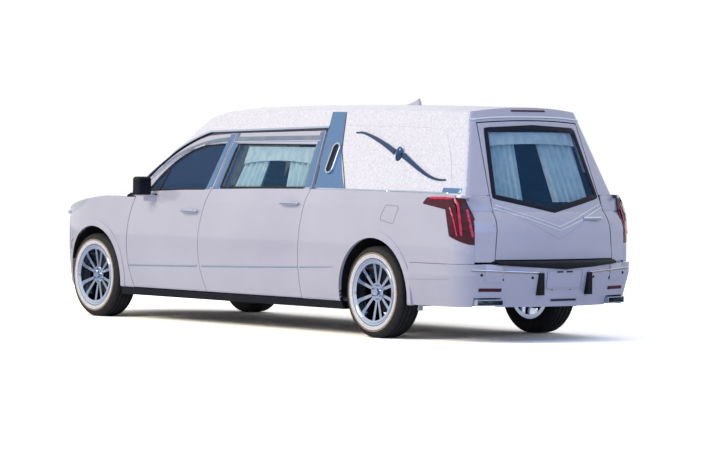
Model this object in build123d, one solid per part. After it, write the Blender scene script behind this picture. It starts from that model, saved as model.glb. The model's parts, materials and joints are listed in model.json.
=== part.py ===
from build123d import *
import os
from functools import cache
from math import asin, atan2, cos, degrees, radians, sin, sqrt

# A funeral coach.  Millimetres.  +Z up, the front faces -Y, +X is the coach's own left.
# The origin is on the ground, midway between the two bumpers.
# Side outlines are (y, z), plan outlines are (x, y), end outlines are (x, z).

# ---- driving sizes ----------------------------------------------------------------------------
HALF_WIDTH = 950            # widest line of the doors
NOSE_Y = -3180              # front of the bumper
TAIL_Y = 3165               # back of the rear bumper
AXLE_FRONT_Y = -2235
AXLE_REAR_Y = 1865
WHEEL_X = 817.5             # middle of each tyre
WHEEL_R = 372               # tyre radius, and so the axle height
TYRE_WIDTH = 235
RIM_R = 262                 # rim flange
ARCH_R = 440                # wheel opening
FLARE_R = 500               # outside of the flare round it
FLARE_PROUD = 9

SKIN = 20                   # outer panel
DOOR_DEPTH = 95             # whole door below the glass
WALL = 42                   # wall of the cabin top
GAP = 6                     # round the doors, below the glass
FRAME_GAP = 12              # round the doors' window frames
GLASS = 5
GLASS_DROP = 14             # glass below the outer face
SEAT_GAP = 0.3              # soft or pushed-in pieces to what holds them

SILL_LOW_Z = 225
SILL_Z = 285                # foot of the doors
WIDEST_Z = 680
SHOULDER_Z = 1060
FLOOR_Z = 300
FLOOR_T = 40
REAR_FLOOR_Z = 560          # top of the raised floor

# plan of the body side: arcs from the rear corner to the nose, as radius and end angle
STRAIGHT_REAR_Y = 1400
REAR_SIDE_R = 23869
REAR_SIDE_TURN = 3.374
REAR_CORNER_R = 190
REAR_CORNER_TURN = 72
FRONT_SIDE_R = 1500
FRONT_SIDE_TURN = 20
FRONT_CORNER_R = 420
FRONT_CORNER_TURN = 50

# bonnet: a crowned arc
BONNET_TOP_Y = -1850
BONNET_TOP_Z = 1188
BONNET_R = 3400
BONNET_CROWN_R = 4500
BONNET_EDGE_R = 38
BONNET_HALF_W = 742
BONNET_REAR_CORNER_Y = -1832
BONNET_REAR_Y = -2030
BONNET_FRONT_Y = -3085
COWL_REAR_Y = -1640

# roof: a crowned arc with a tighter one down to the windscreen
ROOF_TOP_Y = 600
ROOF_TOP_Z = 1897
ROOF_R = 50000
ROOF_REAR_R = 85000
ROOF_CROWN_R = 3900
ROOF_CAP_R = 1250
ROOF_CAP_PROUD = 4          # cap over the windscreen's own line
ROOF_DROP = 11
ROOF_EDGE_R = 45

# cabin top, as plans at two heights
CABIN_LOW_Z = 1080
CABIN_HIGH_Z = 1950
CABIN_SIDE_X = (929.5, 557)
CABIN_PILLAR_Y = (-1778, -685)
CABIN_SCREEN_Y = (-2067, -738)
CABIN_CORNER_X = (798, 515)
CABIN_CORNER_R = (70, 45)
CABIN_PILLAR_R = (150, 120)

# tail: a wall turned about an upright axis, with this profile of radius and height
TAIL_AXIS_Y = 499
TAIL_FOOT = (2600, 645)
TAIL_WAIST = (2595, 880)
TAIL_BEND = (2572, 970)
TAIL_SILL = (2520, 1039)
TAIL_HEAD = (2146, 1950)

BELT = ((-1700, 1120), (600, 1188), (3000, 1168))

# shut lines of the side, as (y, z)
DOOR_SPLIT_TOP = (-441, 1180)
FRONT_DOOR_FOOT = (-1590, SILL_Z)
FRONT_DOOR_EDGE = ((-1689, 640), (-1588, 1062))
FRONT_DOOR_PILLAR = (-1545, 1165)
FRONT_DOOR_TOP = ((-1200, 1464), (-770, 1632))
DOOR_TOP_MIDDLE = (-400, 1655)
DOOR_SPLIT_ARCS = (((-520, 1015), (-574, 850)), ((-585, 600), (-471, SILL_Z)))
REAR_DOOR_TOP = (880, 1682)
REAR_DOOR_BELT = (960, 1180)
REAR_DOOR_ARC = ((868, 780), (898, SILL_Z))
FRONT_WINDOW = (((-1430, 1130), (-552, 1150), (-485, 1560), (-740, 1548)), ((-1150, 1405), (-1430, 1130)))
REAR_WINDOW = ((-358, 1150), (851, 1150), (814, 1562), (-320, 1562))
RAIL = ((-1610, 1175), (-1190, 1493), (-768, 1656), (912, 1700))
RAIL_HEIGHT = 16
BAND_LOW = (991, 1415)      # bright band behind the rear door, at the belt and under the roof
BAND_HIGH = (880, 1080)
ROOF_SIDE_Z = 1835
INNER_X = (790, 828)        # inner body side, behind the doors

# front and rear pieces
FENDER_END_Y = -1500
HEADLAMP = ((-2345, 1090), (-2350, 1040), (-2440, 985), (-2630, 925), (-2800, 880), (-2950, 868),
            (-3120, 890), (-3120, 950), (-2990, 972), (-2860, 1000), (-2700, 1040), (-2520, 1090))
HEADLAMP_X = 430
GRILLE_HALF_W = (430, 350)
GRILLE_Z = (470, 880)
GRILLE_BARS = 9
INTAKE = (540, 270, 400)
TAIL_LAMP = ((2470, 1108), (2505, 1150), (3010, 1153), (3010, 780), (2960, 783), (2812, 850),
             (2750, 1058), (2480, 1098))
HIGH_LAMP = (176, 1838, 1851)
TAIL_DOOR_HALF_W = (609, 516)
TAIL_DOOR_Z = (662, 1745)
TAIL_DOOR_CROWN = 20
TAIL_WINDOW = ((466, 1702), (547, 1153), (0, 1039))
TAIL_DEPTH = 64
TAIL_LEAF = (590, 622, 2995, 3013)
TAIL_LEAF_Z = ((700, 740), (900, 940))
BUMPER_HALF = ((0, TAIL_Y), (261, 3161), (549, 3066), (748, 3012))
BUMPER_CORNER = ((868, 2945), (938, 2800))
BUMPER_Z = (290, 540, 628)
BUMPER_TUCK = 55
BUMPER_FRONT_Y = 2344       # where its sides start, behind the wheel house
BUMPER_T = 70
STEP_Z = (628, 652)
STEP_HALF_W = 635
GUARD_X = (227, 272)
GUARD_Z = (383, 560)
GUARD_BACK_Y = 3180
LEADING_GAP = 8             # ahead of the front door, where its edge swings in
DOOR_PAD_Y = ((-1640, -1590), (-545, -500))     # hinge pads of the front and the rear door
DOOR_PAD_Z = ((520, 560), (860, 900))
BOX_INSET = 32              # inner box of a door to its shut line
FRAME_LAP = -34             # how far a window frame runs down behind the belt
CURTAIN_INSET = (26, 56)
MIRROR_X = (985, 1135)
MIRROR_Y = (-1335, -1235)
MIRROR_Z = (1095, 1265)
HEADLAMP_T = 60
SCREEN = ((772, 1120), (560, 1690), 1716)
BAND_BEND = (1190, 1517)
DOOR_OPENINGS = ((-1570, -590), (-470, 820))
OPENING_Z = 430
LINER_R = 470
LINER_T = 8
LINER_LOW_Z = 320
RAIL_X = (400, 480)
RAIL_Z = (430, 530)

FUEL_FLAP = ((1939, 957), (2017, 1083), (2193, 1075), (2124, 929))
FUEL_FLAP_T = 8
FUEL_GAP = 5

# interior
DECK_Z = (640, 660)
DECK_X = 690
DECK_Y = (-250, 2880)
ROLLERS = (-100, 500, 1100, 1700, 2300, 2800)
ROLLER_R = 22
DASH = (770, -1640, -1330, 780, 1105)
SEAT_X = 370
SEAT_HALF_W = 250
STEER_CENTRE = (SEAT_X, -1150, 985)
STEER_R = 182
STEER_LEAN = 26
STEER_HUB_T = 36

PIPE_R = 32
TIP_X = (545, 770)
TIP_Z = (300, 352)
LANDAU = ((1365, 1649), (1990, 1474), (2565, 1288))
LANDAU_HALF_W = 26
LANDAU_BOSS_R = 44
OPERA = ((1100, 1557), (1000, 1350))
OPERA_HALF_W = 30

# running gear
HUB_PAD_R = 78
HUB_R = 56
KINGPIN_X = 680
ARM_Z = (215, 245)
ENGINE_Z = (330, 900)
DISC_R = 168
RIM_FACE_X = 868
SPOKE_PAIRS = 6
PAD_T = 34
HUB_END_X = RIM_FACE_X - PAD_T / 2 - SEAT_GAP


# ---- helpers ----------------------------------------------------------------------------------
def outline(start, *legs):
    """Closed face from a start point; a leg is a line's end, or an arc's (middle, end)."""
    edges = []
    here = start
    for leg in legs:
        if isinstance(leg[0], tuple):
            edges.append(ThreePointArc(here, leg[0], leg[1]))
            here = leg[1]
        else:
            edges.append(Line(here, leg))
            here = leg
    if here != start:
        edges.append(Line(here, start))
    return make_face(edges)


def across(face, x_low=-1200, x_high=1200):
    """Prism of a side outline (y, z) from x_low to x_high."""
    return extrude(Plane.YZ.offset(x_low) * face, x_high - x_low)


def along(face, y_low=-4000, y_high=4000):
    """Prism of an end outline (x, z) from y_low to y_high."""
    return extrude(Plane.XZ.offset(-y_high) * face, y_high - y_low)


def upright(face, z_low=0, z_high=2200):
    """Prism of a plan outline (x, y) from z_low to z_high."""
    return extrude(Plane.XY.offset(z_low) * face, z_high - z_low)


def block(x_low, x_high, y_low, y_high, z_low, z_high):
    return Pos((x_low + x_high) / 2, (y_low + y_high) / 2, (z_low + z_high) / 2) * Box(
        x_high - x_low, y_high - y_low, z_high - z_low)


def rod(start, end, radius):
    """Round bar between two points."""
    line = Line(start, end)
    return sweep(Plane(origin=start, z_dir=line % 0) * Circle(radius), path=line)


def drum(x_low, x_high, y, z, radius):
    """Round bar across the coach."""
    return Pos((x_low + x_high) / 2, y, z) * Rot(0, 90, 0) * Cylinder(radius, x_high - x_low)


def grown(face, by):
    """The outline moved out, with round corners, or in, with sharp ones."""
    return offset(face, by, kind=Kind.ARC if by > 0 else Kind.INTERSECTION)


def flipped(shape):
    """The same shape on the other side of the coach."""
    return mirror(shape, about=Plane.YZ)


def both_sides(shape):
    return shape + flipped(shape)


def turned(centre, radius, angle):
    return (centre[0] + radius * cos(radians(angle)), centre[1] + radius * sin(radians(angle)))


# ---- body side as a swept ring ----------------------------------------------------------------
def side_arcs(front_side_y):
    """Plan arcs from the rear corner to the nose: centre, radius, first and last angle."""
    rear_side = (HALF_WIDTH - REAR_SIDE_R, STRAIGHT_REAR_Y)
    rear_corner = turned(rear_side, REAR_SIDE_R - REAR_CORNER_R, REAR_SIDE_TURN)
    front_side = (HALF_WIDTH - FRONT_SIDE_R, front_side_y)
    front_corner = turned(front_side, FRONT_SIDE_R - FRONT_CORNER_R, -FRONT_SIDE_TURN)
    nose_r = FRONT_CORNER_R + front_corner[0] / cos(radians(FRONT_CORNER_TURN))
    nose = turned(front_corner, FRONT_CORNER_R - nose_r, -FRONT_CORNER_TURN)
    return {
        "rear_corner": (rear_corner, REAR_CORNER_R, REAR_CORNER_TURN, REAR_SIDE_TURN),
        "rear_side": (rear_side, REAR_SIDE_R, REAR_SIDE_TURN, 0),
        "front_side": (front_side, FRONT_SIDE_R, 0, -FRONT_SIDE_TURN),
        "front_corner": (front_corner, FRONT_CORNER_R, -FRONT_SIDE_TURN, -FRONT_CORNER_TURN),
        "nose": (nose, nose_r, -FRONT_CORNER_TURN, -90),
    }


NOSE_CENTRE, NOSE_R = side_arcs(0)["nose"][:2]
FRONT_SIDE_Y = NOSE_Y - (NOSE_CENTRE[1] - NOSE_R)
ARCS = side_arcs(FRONT_SIDE_Y)
FRONT_ARCS = ("front_side", "front_corner", "nose")
REAR_ARCS = ("rear_side", "rear_corner")


def side_section(shift, depth=None):
    """Body side section (offset, z), from `shift` inside the outer face to `depth` inside it,
    or to an upright face at the door's whole depth."""
    curve = [(-60, SILL_LOW_Z), (-22, 300), (0, WIDEST_Z), (-18, SHOULDER_Z), (-34, 1128), (-66, 1200)]
    foot, tuck, widest, shoulder, slope, top = [(x - shift, z) for x, z in curve]
    if depth is None:
        back = [(-SKIN - DOOR_DEPTH, top[1]), (-SKIN - DOOR_DEPTH, foot[1])]
    else:
        foot_in, tuck_in, widest_in, shoulder_in, slope_in, top_in = [(x - depth, z) for x, z in curve]
        back = [top_in, (slope_in, shoulder_in), (widest_in, tuck_in), foot_in]
    return outline(foot, tuck, (widest, shoulder), (slope, top), *back)


def straight_side(section, y_low, y_high):
    plane = Plane(origin=(HALF_WIDTH, y_high, 0), x_dir=(1, 0, 0), z_dir=(0, -1, 0))
    return extrude(plane * section, y_high - y_low)


def arc_side(section, name):
    centre, radius, first, last = ARCS[name]
    point = turned(centre, radius, first)
    normal = (cos(radians(first)), sin(radians(first)))
    plane = Plane(origin=(point[0], point[1], 0), x_dir=(normal[0], normal[1], 0),
                  z_dir=(normal[1], -normal[0], 0))
    axis = Axis((centre[0], centre[1], 0), (0, 0, -1))
    return revolve(plane * section, axis, first - last)


def front_side(section):
    """Left half of the body side from the front door forward to the nose."""
    shape = straight_side(section, FRONT_SIDE_Y, FENDER_END_Y)
    for name in FRONT_ARCS:
        shape += arc_side(section, name)
    return shape


def rear_side(section, y_low):
    """Left half of the body side from y_low back round the rear corner."""
    shape = straight_side(section, y_low, STRAIGHT_REAR_Y)
    for name in REAR_ARCS:
        shape += arc_side(section, name)
    return shape


def front_plan(inset):
    """Left half plan of the front body at an inset from its widest line."""
    edges = [Line((0, FENDER_END_Y), (HALF_WIDTH - inset, FENDER_END_Y)),
             Line((HALF_WIDTH - inset, FENDER_END_Y), (HALF_WIDTH - inset, FRONT_SIDE_Y))]
    for name in FRONT_ARCS:
        centre, radius, first, last = ARCS[name]
        edges.append(ThreePointArc(turned(centre, radius - inset, first),
                                   turned(centre, radius - inset, (first + last) / 2),
                                   turned(centre, radius - inset, last)))
    edges.append(Line((0, NOSE_Y + inset), (0, FENDER_END_Y)))
    return make_face(edges)


def crown(top_y, top_z, radius, crown_r, sweep_front, sweep_rear, floor_z=200):
    """Everything under a crowned surface that curves along the coach with `radius`."""
    half = 1050
    drop = crown_r - sqrt(crown_r ** 2 - half ** 2)
    face = outline((-half, floor_z), (-half, top_z - drop),
                   ((0, top_z), (half, top_z - drop)), (half, floor_z))
    axis = Axis((0, top_y, top_z - radius), (1, 0, 0))
    face = Plane.XZ.offset(-top_y) * face
    shape = revolve(face, axis, sweep_front)
    if sweep_rear:
        shape += revolve(face, axis, -sweep_rear)
    return shape


@cache
def front_block(shift):
    """Whole front of the body, `shift` inside its outer face."""
    half = front_side(side_section(shift))
    half += upright(front_plan(DOOR_DEPTH), SILL_LOW_Z, 1200)
    half &= crown(BONNET_TOP_Y, BONNET_TOP_Z - shift, BONNET_R - shift,
                  BONNET_CROWN_R - shift, 32, 7)
    return both_sides(half)


# ---- cabin top --------------------------------------------------------------------------------
TAIL_SLOPE = (TAIL_SILL[0] - TAIL_HEAD[0]) / (TAIL_HEAD[1] - TAIL_SILL[1])
SCREEN_RUN = CABIN_SCREEN_Y[1] - CABIN_SCREEN_Y[0]
SCREEN_ANGLE = degrees(atan2(CABIN_HIGH_Z - CABIN_LOW_Z, SCREEN_RUN))


def cap_start():
    """Where the roof's front arc begins, so that it ends in line with the windscreen."""
    lean = radians(SCREEN_ANGLE)
    rise = ROOF_TOP_Z - ROOF_DROP - CABIN_LOW_Z
    reach = (ROOF_CAP_R * (1 - cos(lean)) + rise * cos(lean) - ROOF_CAP_PROUD) / sin(lean)
    return CABIN_SCREEN_Y[0] + reach


CAP_Y = cap_start()
CAP_TURN = degrees(asin((ROOF_TOP_Y - CAP_Y) / ROOF_R))


def cabin_plan(level, inset):
    """Plan of the cabin top at the low (0) or high (1) level."""
    side_x = CABIN_SIDE_X[level] - inset
    corner_x = CABIN_CORNER_X[level] - inset
    tail_low = TAIL_SILL[0] - (CABIN_LOW_Z - TAIL_SILL[1]) * TAIL_SLOPE
    tail_r = (tail_low, TAIL_HEAD[0])[level] - inset
    corner_y = TAIL_AXIS_Y + sqrt(tail_r ** 2 - corner_x ** 2)
    pillar_y = CABIN_PILLAR_Y[level] + inset
    screen_y = CABIN_SCREEN_Y[level] + inset
    bow = (side_x - (side_x - corner_x) / 4, (STRAIGHT_REAR_Y + corner_y) / 2)
    face = outline(
        (-side_x, pillar_y), ((0, screen_y), (side_x, pillar_y)), (side_x, STRAIGHT_REAR_Y),
        (bow, (corner_x, corner_y)), ((0, TAIL_AXIS_Y + tail_r), (-corner_x, corner_y)),
        ((-bow[0], bow[1]), (-side_x, STRAIGHT_REAR_Y)))
    rear = face.vertices().filter_by(lambda vertex: vertex.Y > corner_y - 1)
    face = fillet(rear, CABIN_CORNER_R[level])
    front = face.vertices().filter_by(lambda vertex: abs(vertex.Y - pillar_y) < 1)
    return fillet(front, CABIN_PILLAR_R[level])


def above_roof(inset):
    """What lies over the roof: nearly flat, then a tighter arc, then straight down the screen."""
    lean = radians(SCREEN_ANGLE)
    half = 1050
    cutters = []
    cap_z = ROOF_TOP_Z - ROOF_R * (1 - cos(radians(CAP_TURN)))
    spans = ((ROOF_TOP_Y, ROOF_TOP_Z, ROOF_REAR_R, -2),
             (ROOF_TOP_Y, ROOF_TOP_Z, ROOF_R, CAP_TURN + 0.3),
             (CAP_Y, cap_z, ROOF_CAP_R, SCREEN_ANGLE))
    for y, z, radius, turn in spans:
        top = z - inset
        drop = ROOF_CROWN_R - sqrt(ROOF_CROWN_R ** 2 - half ** 2)
        face = outline((-half, top - drop), ((0, top), (half, top - drop)), (half, 2300), (-half, 2300))
        face = Plane.XZ.offset(-y) * face
        axis = Axis((0, y, z - radius), (1, 0, 0))
        cutters.append(revolve(face, axis, turn))
    last = cutters[-1].faces().sort_by(Axis.Y)[0]
    cutters.append(extrude(last, 1700, dir=(0, -cos(lean), -sin(lean))))
    return cutters


@cache
def cabin(inset):
    """Cabin top as a solid, `inset` inside its outer face."""
    low = Plane.XY.offset(CABIN_LOW_Z) * cabin_plan(0, inset)
    high = Plane.XY.offset(CABIN_HIGH_Z) * cabin_plan(1, inset)
    body = loft([low.face(), high.face()], ruled=True)
    for cutter in above_roof(inset):
        body -= cutter
    return body


# ---- tail -------------------------------------------------------------------------------------
def tail(shift, depth):
    """Tail wall between two depths inside its outer face."""
    points = [TAIL_FOOT, TAIL_WAIST, TAIL_BEND, TAIL_SILL, TAIL_HEAD]
    outer = [(TAIL_AXIS_Y + r - shift, z) for r, z in points]
    inner = [(TAIL_AXIS_Y + r - depth, z) for r, z in points]
    face = outline(outer[0], outer[1], (outer[2], outer[3]), outer[4],
                   inner[4], inner[3], (inner[2], inner[1]), inner[0])
    axis = Axis((0, TAIL_AXIS_Y, 0), (0, 0, 1))
    side = Plane.YZ * face
    return revolve(side, axis, 22) + revolve(side, axis, -22)


def tail_door_outline(by=0):
    low_x, high_x = TAIL_DOOR_HALF_W
    low_z, high_z = TAIL_DOOR_Z
    face = outline((-low_x, low_z), (low_x, low_z), (high_x, high_z),
                   ((0, high_z + TAIL_DOOR_CROWN), (-high_x, high_z)))
    return grown(face, by) if by else face


def tail_window_outline(by=0):
    top, low, point = TAIL_WINDOW
    face = outline(point, low, top, ((0, top[1] + 22), (-top[0], top[1])), (-low[0], low[1]))
    return grown(face, by) if by else face


# ---- side outlines ----------------------------------------------------------------------------
def belt_solid(lift=0):
    """Everything under the belt line."""
    first, middle, last = [(y, z + lift) for y, z in BELT]
    return across(outline((-2300, 0), (-2300, first[1] - 40), first, (middle, last),
                          (3400, last[1] - 8), (3400, 0)))


def above_belt(lift=0):
    """Everything over the belt line."""
    first, middle, last = [(y, z + lift) for y, z in BELT]
    return across(outline((-2300, 2200), (-2300, first[1] - 40), first, (middle, last),
                          (3400, last[1] - 8), (3400, 2200)))


def front_door_outline():
    return outline(FRONT_DOOR_FOOT, FRONT_DOOR_EDGE, FRONT_DOOR_PILLAR, FRONT_DOOR_TOP,
                   DOOR_TOP_MIDDLE, DOOR_SPLIT_TOP, *DOOR_SPLIT_ARCS)


def rear_door_outline():
    upper, lower = DOOR_SPLIT_ARCS
    return outline(DOOR_SPLIT_TOP, DOOR_TOP_MIDDLE, REAR_DOOR_TOP, REAR_DOOR_BELT, REAR_DOOR_ARC,
                   lower[1], (lower[0], upper[1]), (upper[0], DOOR_SPLIT_TOP))


def front_window_outline(by=0):
    corners, arc = FRONT_WINDOW
    face = outline(*corners, arc)
    return grown(face, by) if by else face


def rear_window_outline(by=0):
    face = outline(*REAR_WINDOW)
    return grown(face, by) if by else face


def rail_line(rise):
    """Lower edge of the roof along the side, raised by `rise`."""
    return [(y, z + rise) for y, z in RAIL]


def wheel_openings(radius, x_low, x_high):
    return [drum(x_low, x_high, y, WHEEL_R, radius) for y in (AXLE_FRONT_Y, AXLE_REAR_Y)]


ABOVE_BELT = above_belt()
CABIN_WALL = cabin(0) - cabin(WALL)
FRONT_SHELL = front_block(0) - front_block(SKIN)
FRONT_ARCH, REAR_ARCH = wheel_openings(ARCH_R, 480, 1200)
DOORS = {"front": front_door_outline(), "rear": rear_door_outline()}


# ---- doors ------------------------------------------------------------------------------------
def side_door(name, window, y_low, y_high):
    """Left door: skin, inner box, window frame."""
    shape = DOORS[name]
    skin = straight_side(side_section(0, SKIN), y_low, y_high) & across(grown(shape, -GAP / 2), 0)
    box = straight_side(side_section(SKIN), y_low, y_high) & across(grown(shape, -BOX_INSET), 0)
    panel = (skin + box) - ABOVE_BELT
    frame = (CABIN_WALL & across(grown(shape, -FRAME_GAP / 2), 0)) - belt_solid(FRAME_LAP)
    return panel + (frame - across(window, 0))


def front_door():
    return side_door("front", front_window_outline(), -1800, -300)


def rear_door():
    return side_door("rear", rear_window_outline(), -700, 1100)


def side_glass(window):
    sheet = cabin(GLASS_DROP) - cabin(GLASS_DROP + GLASS)
    return (sheet & across(grown(window, -SEAT_GAP), 0)) - belt_solid(SEAT_GAP)


def side_curtain():
    sheet = cabin(CURTAIN_INSET[0]) - cabin(CURTAIN_INSET[1])
    return (sheet & across(rear_window_outline(-SEAT_GAP), 0)) - belt_solid(SEAT_GAP)


def mirror_shell():
    head = block(*MIRROR_X, *MIRROR_Y, *MIRROR_Z)
    head = fillet(head.edges(), 28)
    arm = block(HALF_WIDTH - 75, MIRROR_X[0] + 40, MIRROR_Y[0] + 20, MIRROR_Y[1] - 20,
                MIRROR_Z[0] - 45, MIRROR_Z[0] + 20)
    return head + (arm - straight_side(side_section(-SEAT_GAP), -1800, -1000)
                   - cabin(-SEAT_GAP))


# ---- fixed body -------------------------------------------------------------------------------
def bonnet_outline(by=0):
    corner = (BONNET_HALF_W, BONNET_REAR_CORNER_Y)
    face = outline((-corner[0], corner[1]), ((0, BONNET_REAR_Y), corner), (730, -2350),
                   ((690, -2680), (560, -2890)), ((0, BONNET_FRONT_Y), (-560, -2890)),
                   ((-690, -2680), (-730, -2350)))
    return grown(face, by) if by else face


def bonnet():
    lid = FRONT_SHELL & upright(bonnet_outline(-GAP / 2), 700)
    return lid.solids().sort_by(Axis.Z)[-1]


def bumper_region(by=0):
    y_far = NOSE_Y - 100
    return outline((y_far, 100), (-2655 + by, 100), (-2655 + by, 700), (-2725 + by, 885 + by),
                   (-2900 + by, 885 + by), (-2900 + by, 1100), (y_far, 1100))


def fender():
    """Left front wing, with the flare round the wheel."""
    wing = FRONT_SHELL & block(0, 1000, NOSE_Y, FENDER_END_Y, 0, 1300)
    wing -= upright(bonnet_outline(GAP / 2), 700)
    lip = front_side(side_section(-FLARE_PROUD, SKIN)) & drum(480, 1200, AXLE_FRONT_Y, WHEEL_R, FLARE_R)
    wing += lip & block(480, 1200, NOSE_Y, FENDER_END_Y, SILL_Z, 1200)
    wing -= across(bumper_region(GAP / 4))
    wing -= across(headlamp_outline(SEAT_GAP), HEADLAMP_X - SEAT_GAP)
    wing -= across(Pos(GAP / 2 - LEADING_GAP, 0) * DOORS["front"] + DOORS["front"], 0)
    wing -= FRONT_ARCH
    wing -= cabin(-2)
    wing -= upright(cowl_outline(), 700)
    wing -= block(0, 1200, -1841, FENDER_END_Y, 0, SILL_Z)
    wing = wing.solids().sort_by(SortBy.VOLUME)[-1]
    liner = drum(RAIL_X[1] + SEAT_GAP, HALF_WIDTH, AXLE_FRONT_Y, WHEEL_R, LINER_R + LINER_T)
    liner -= drum(RAIL_X[1] + SEAT_GAP + LINER_T, 1200, AXLE_FRONT_Y, WHEEL_R, LINER_R)
    liner -= block(0, 1200, -2800, -1700, -200, LINER_LOW_Z)
    return wing + (liner & front_block(SKIN))


def headlamp_outline(by=0):
    face = outline(*HEADLAMP)
    return grown(face, by) if by else face


def headlamp():
    lens = front_block(1) - front_block(HEADLAMP_T)
    lens &= across(headlamp_outline(), HEADLAMP_X, 1000)
    lens -= upright(bonnet_outline(GAP / 2), 700)
    return lens.solids().sort_by(SortBy.VOLUME)[-1]


def grille_opening(by=0):
    top, low = GRILLE_HALF_W
    z_low, z_high = GRILLE_Z
    face = outline((-low, z_low), (low, z_low), (top, z_high), (-top, z_high))
    return grown(face, by) if by else face


def front_bumper():
    nose = FRONT_SHELL & across(bumper_region())
    lip = front_side(side_section(-FLARE_PROUD, SKIN)) & drum(480, 1200, AXLE_FRONT_Y, WHEEL_R, FLARE_R)
    nose += both_sides(lip & across(bumper_region()) & block(0, 1200, NOSE_Y, -2500, SILL_Z, 1200))
    nose -= upright(bonnet_outline(GAP / 2), 700)
    nose -= both_sides(across(headlamp_outline(SEAT_GAP), HEADLAMP_X - SEAT_GAP))
    nose -= both_sides(FRONT_ARCH)
    nose -= along(grille_opening(), NOSE_Y - 100, -2700)
    half, z_low, z_high = INTAKE
    nose -= block(-half, half, NOSE_Y - 100, -2700, z_low, z_high)
    return nose.solids().sort_by(SortBy.VOLUME)[-1]


def grille():
    """Upright bars in a frame, and a plain mesh in the lower opening."""
    layer = front_block(8) - front_block(34)
    frame = grille_opening(-SEAT_GAP)
    ring = along(frame, NOSE_Y - 100, -2700) - along(grown(frame, -16), NOSE_Y - 200, -2600)
    pitch = 2 * GRILLE_HALF_W[0] / (GRILLE_BARS + 1)
    for index in range(GRILLE_BARS):
        x = -GRILLE_HALF_W[0] + pitch * (index + 1)
        bar = block(x - 9, x + 9, NOSE_Y - 100, -2700, *GRILLE_Z)
        ring += bar & along(frame, NOSE_Y - 100, -2700)
    half, z_low, z_high = INTAKE
    low = front_block(20) - front_block(34)
    low &= block(-half + SEAT_GAP, half - SEAT_GAP, NOSE_Y - 100, -2700, z_low + SEAT_GAP,
                 z_high - SEAT_GAP)
    middle = front_block(SKIN + SEAT_GAP) - front_block(34)
    middle &= block(-60, 60, NOSE_Y - 100, -2700, z_high - 2, GRILLE_Z[0] + 2)
    return (layer & ring) + low + middle


def cowl_outline():
    corner = (BONNET_HALF_W, BONNET_REAR_CORNER_Y + GAP)
    return outline((-corner[0], corner[1]), ((0, BONNET_REAR_Y + GAP), corner),
                   (corner[0], COWL_REAR_Y), (-corner[0], COWL_REAR_Y))


def cowl():
    panel = front_block(10) - front_block(45)
    strip = (panel & upright(cowl_outline(), 700)) - cabin(-1)
    return strip.solids().sort_by(SortBy.VOLUME)[-1]


def side_zone(y_low):
    """The walls of the cabin top on the left, as against its roof."""
    face = outline((520, 1000), (1200, 1000), (1200, ROOF_SIDE_Z), (612, ROOF_SIDE_Z), (520, 1790))
    return along(face, y_low, 3300)


def windscreen_outline(by=0):
    (low_x, low_z), (high_x, high_z), top_z = SCREEN
    face = outline((-low_x, low_z), (low_x, low_z), (high_x, high_z), ((0, top_z), (-high_x, high_z)))
    return grown(face, by) if by else face


def windscreen():
    sheet = cabin(GLASS_DROP - 4) - cabin(GLASS_DROP + GLASS - 4)
    return sheet & along(windscreen_outline(-SEAT_GAP), -2200, -700)


def screen_hole():
    return along(windscreen_outline(), -2200, -700)


def roof_region():
    low, bend, crest, end = RAIL
    return across(outline((-2200, 1100), (low[0] - 60, 1100), low, (bend, crest), end,
                          (1000, end[1]), (1100, 1740), (3200, 1740), (3200, 2100), (-2200, 2100)))


def behind_band(edge):
    """Everything behind one edge of the bright band."""
    low, high = BAND_LOW[edge], BAND_HIGH[edge]
    upper = (BAND_BEND, (high, ROOF_SIDE_Z)) if edge else (high, ROOF_SIDE_Z)
    return across(outline((low, 1100), (low, 1190), upper, (high, 1900), (3300, 1900), (3300, 1100)), 0)


def roof():
    shape = (CABIN_WALL & roof_region()) - screen_hole()
    shape -= along(tail_door_outline(FRAME_GAP / 2), 2400, 3300)
    shape -= belt_solid(-6) - block(-800, 800, -2300, -1500, 0, 1400)
    shape -= both_sides(side_zone(800) & behind_band(0))
    shape -= upright(bonnet_outline(GAP / 2), 700)
    shape -= high_lamp_pocket()
    return shape.solids().sort_by(SortBy.VOLUME)[-1]


def pillar_band():
    """Bright panel behind the left rear door, from the belt to the roof."""
    wall = CABIN_WALL & side_zone(800) & behind_band(0)
    return wall - behind_band(1) - belt_solid()


def upper_quarter():
    """Left vinyl-covered wall from the bright band to the tail door."""
    wall = CABIN_WALL & side_zone(800) & behind_band(1)
    wall -= along(tail_door_outline(FRAME_GAP / 2), 2400, 3300)
    wall -= belt_solid()
    return wall.solids().sort_by(SortBy.VOLUME)[-1]


def shoulder_shelf():
    """Closes the body side to the cabin top along the belt."""
    top = rear_side(side_section(SKIN - 2), BAND_LOW[0] + 6) - ABOVE_BELT
    top -= belt_solid(-26)
    plate = upright(outline((600, 1000), (HALF_WIDTH - 90, 1000), (HALF_WIDTH - 90, STRAIGHT_REAR_Y),
                            ((850, 2120), (800, 2840)), (600, 2900)), 1100, 1250) - ABOVE_BELT
    plate -= belt_solid(-26)
    plate -= cabin(WALL + 20)
    return top + plate


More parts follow.
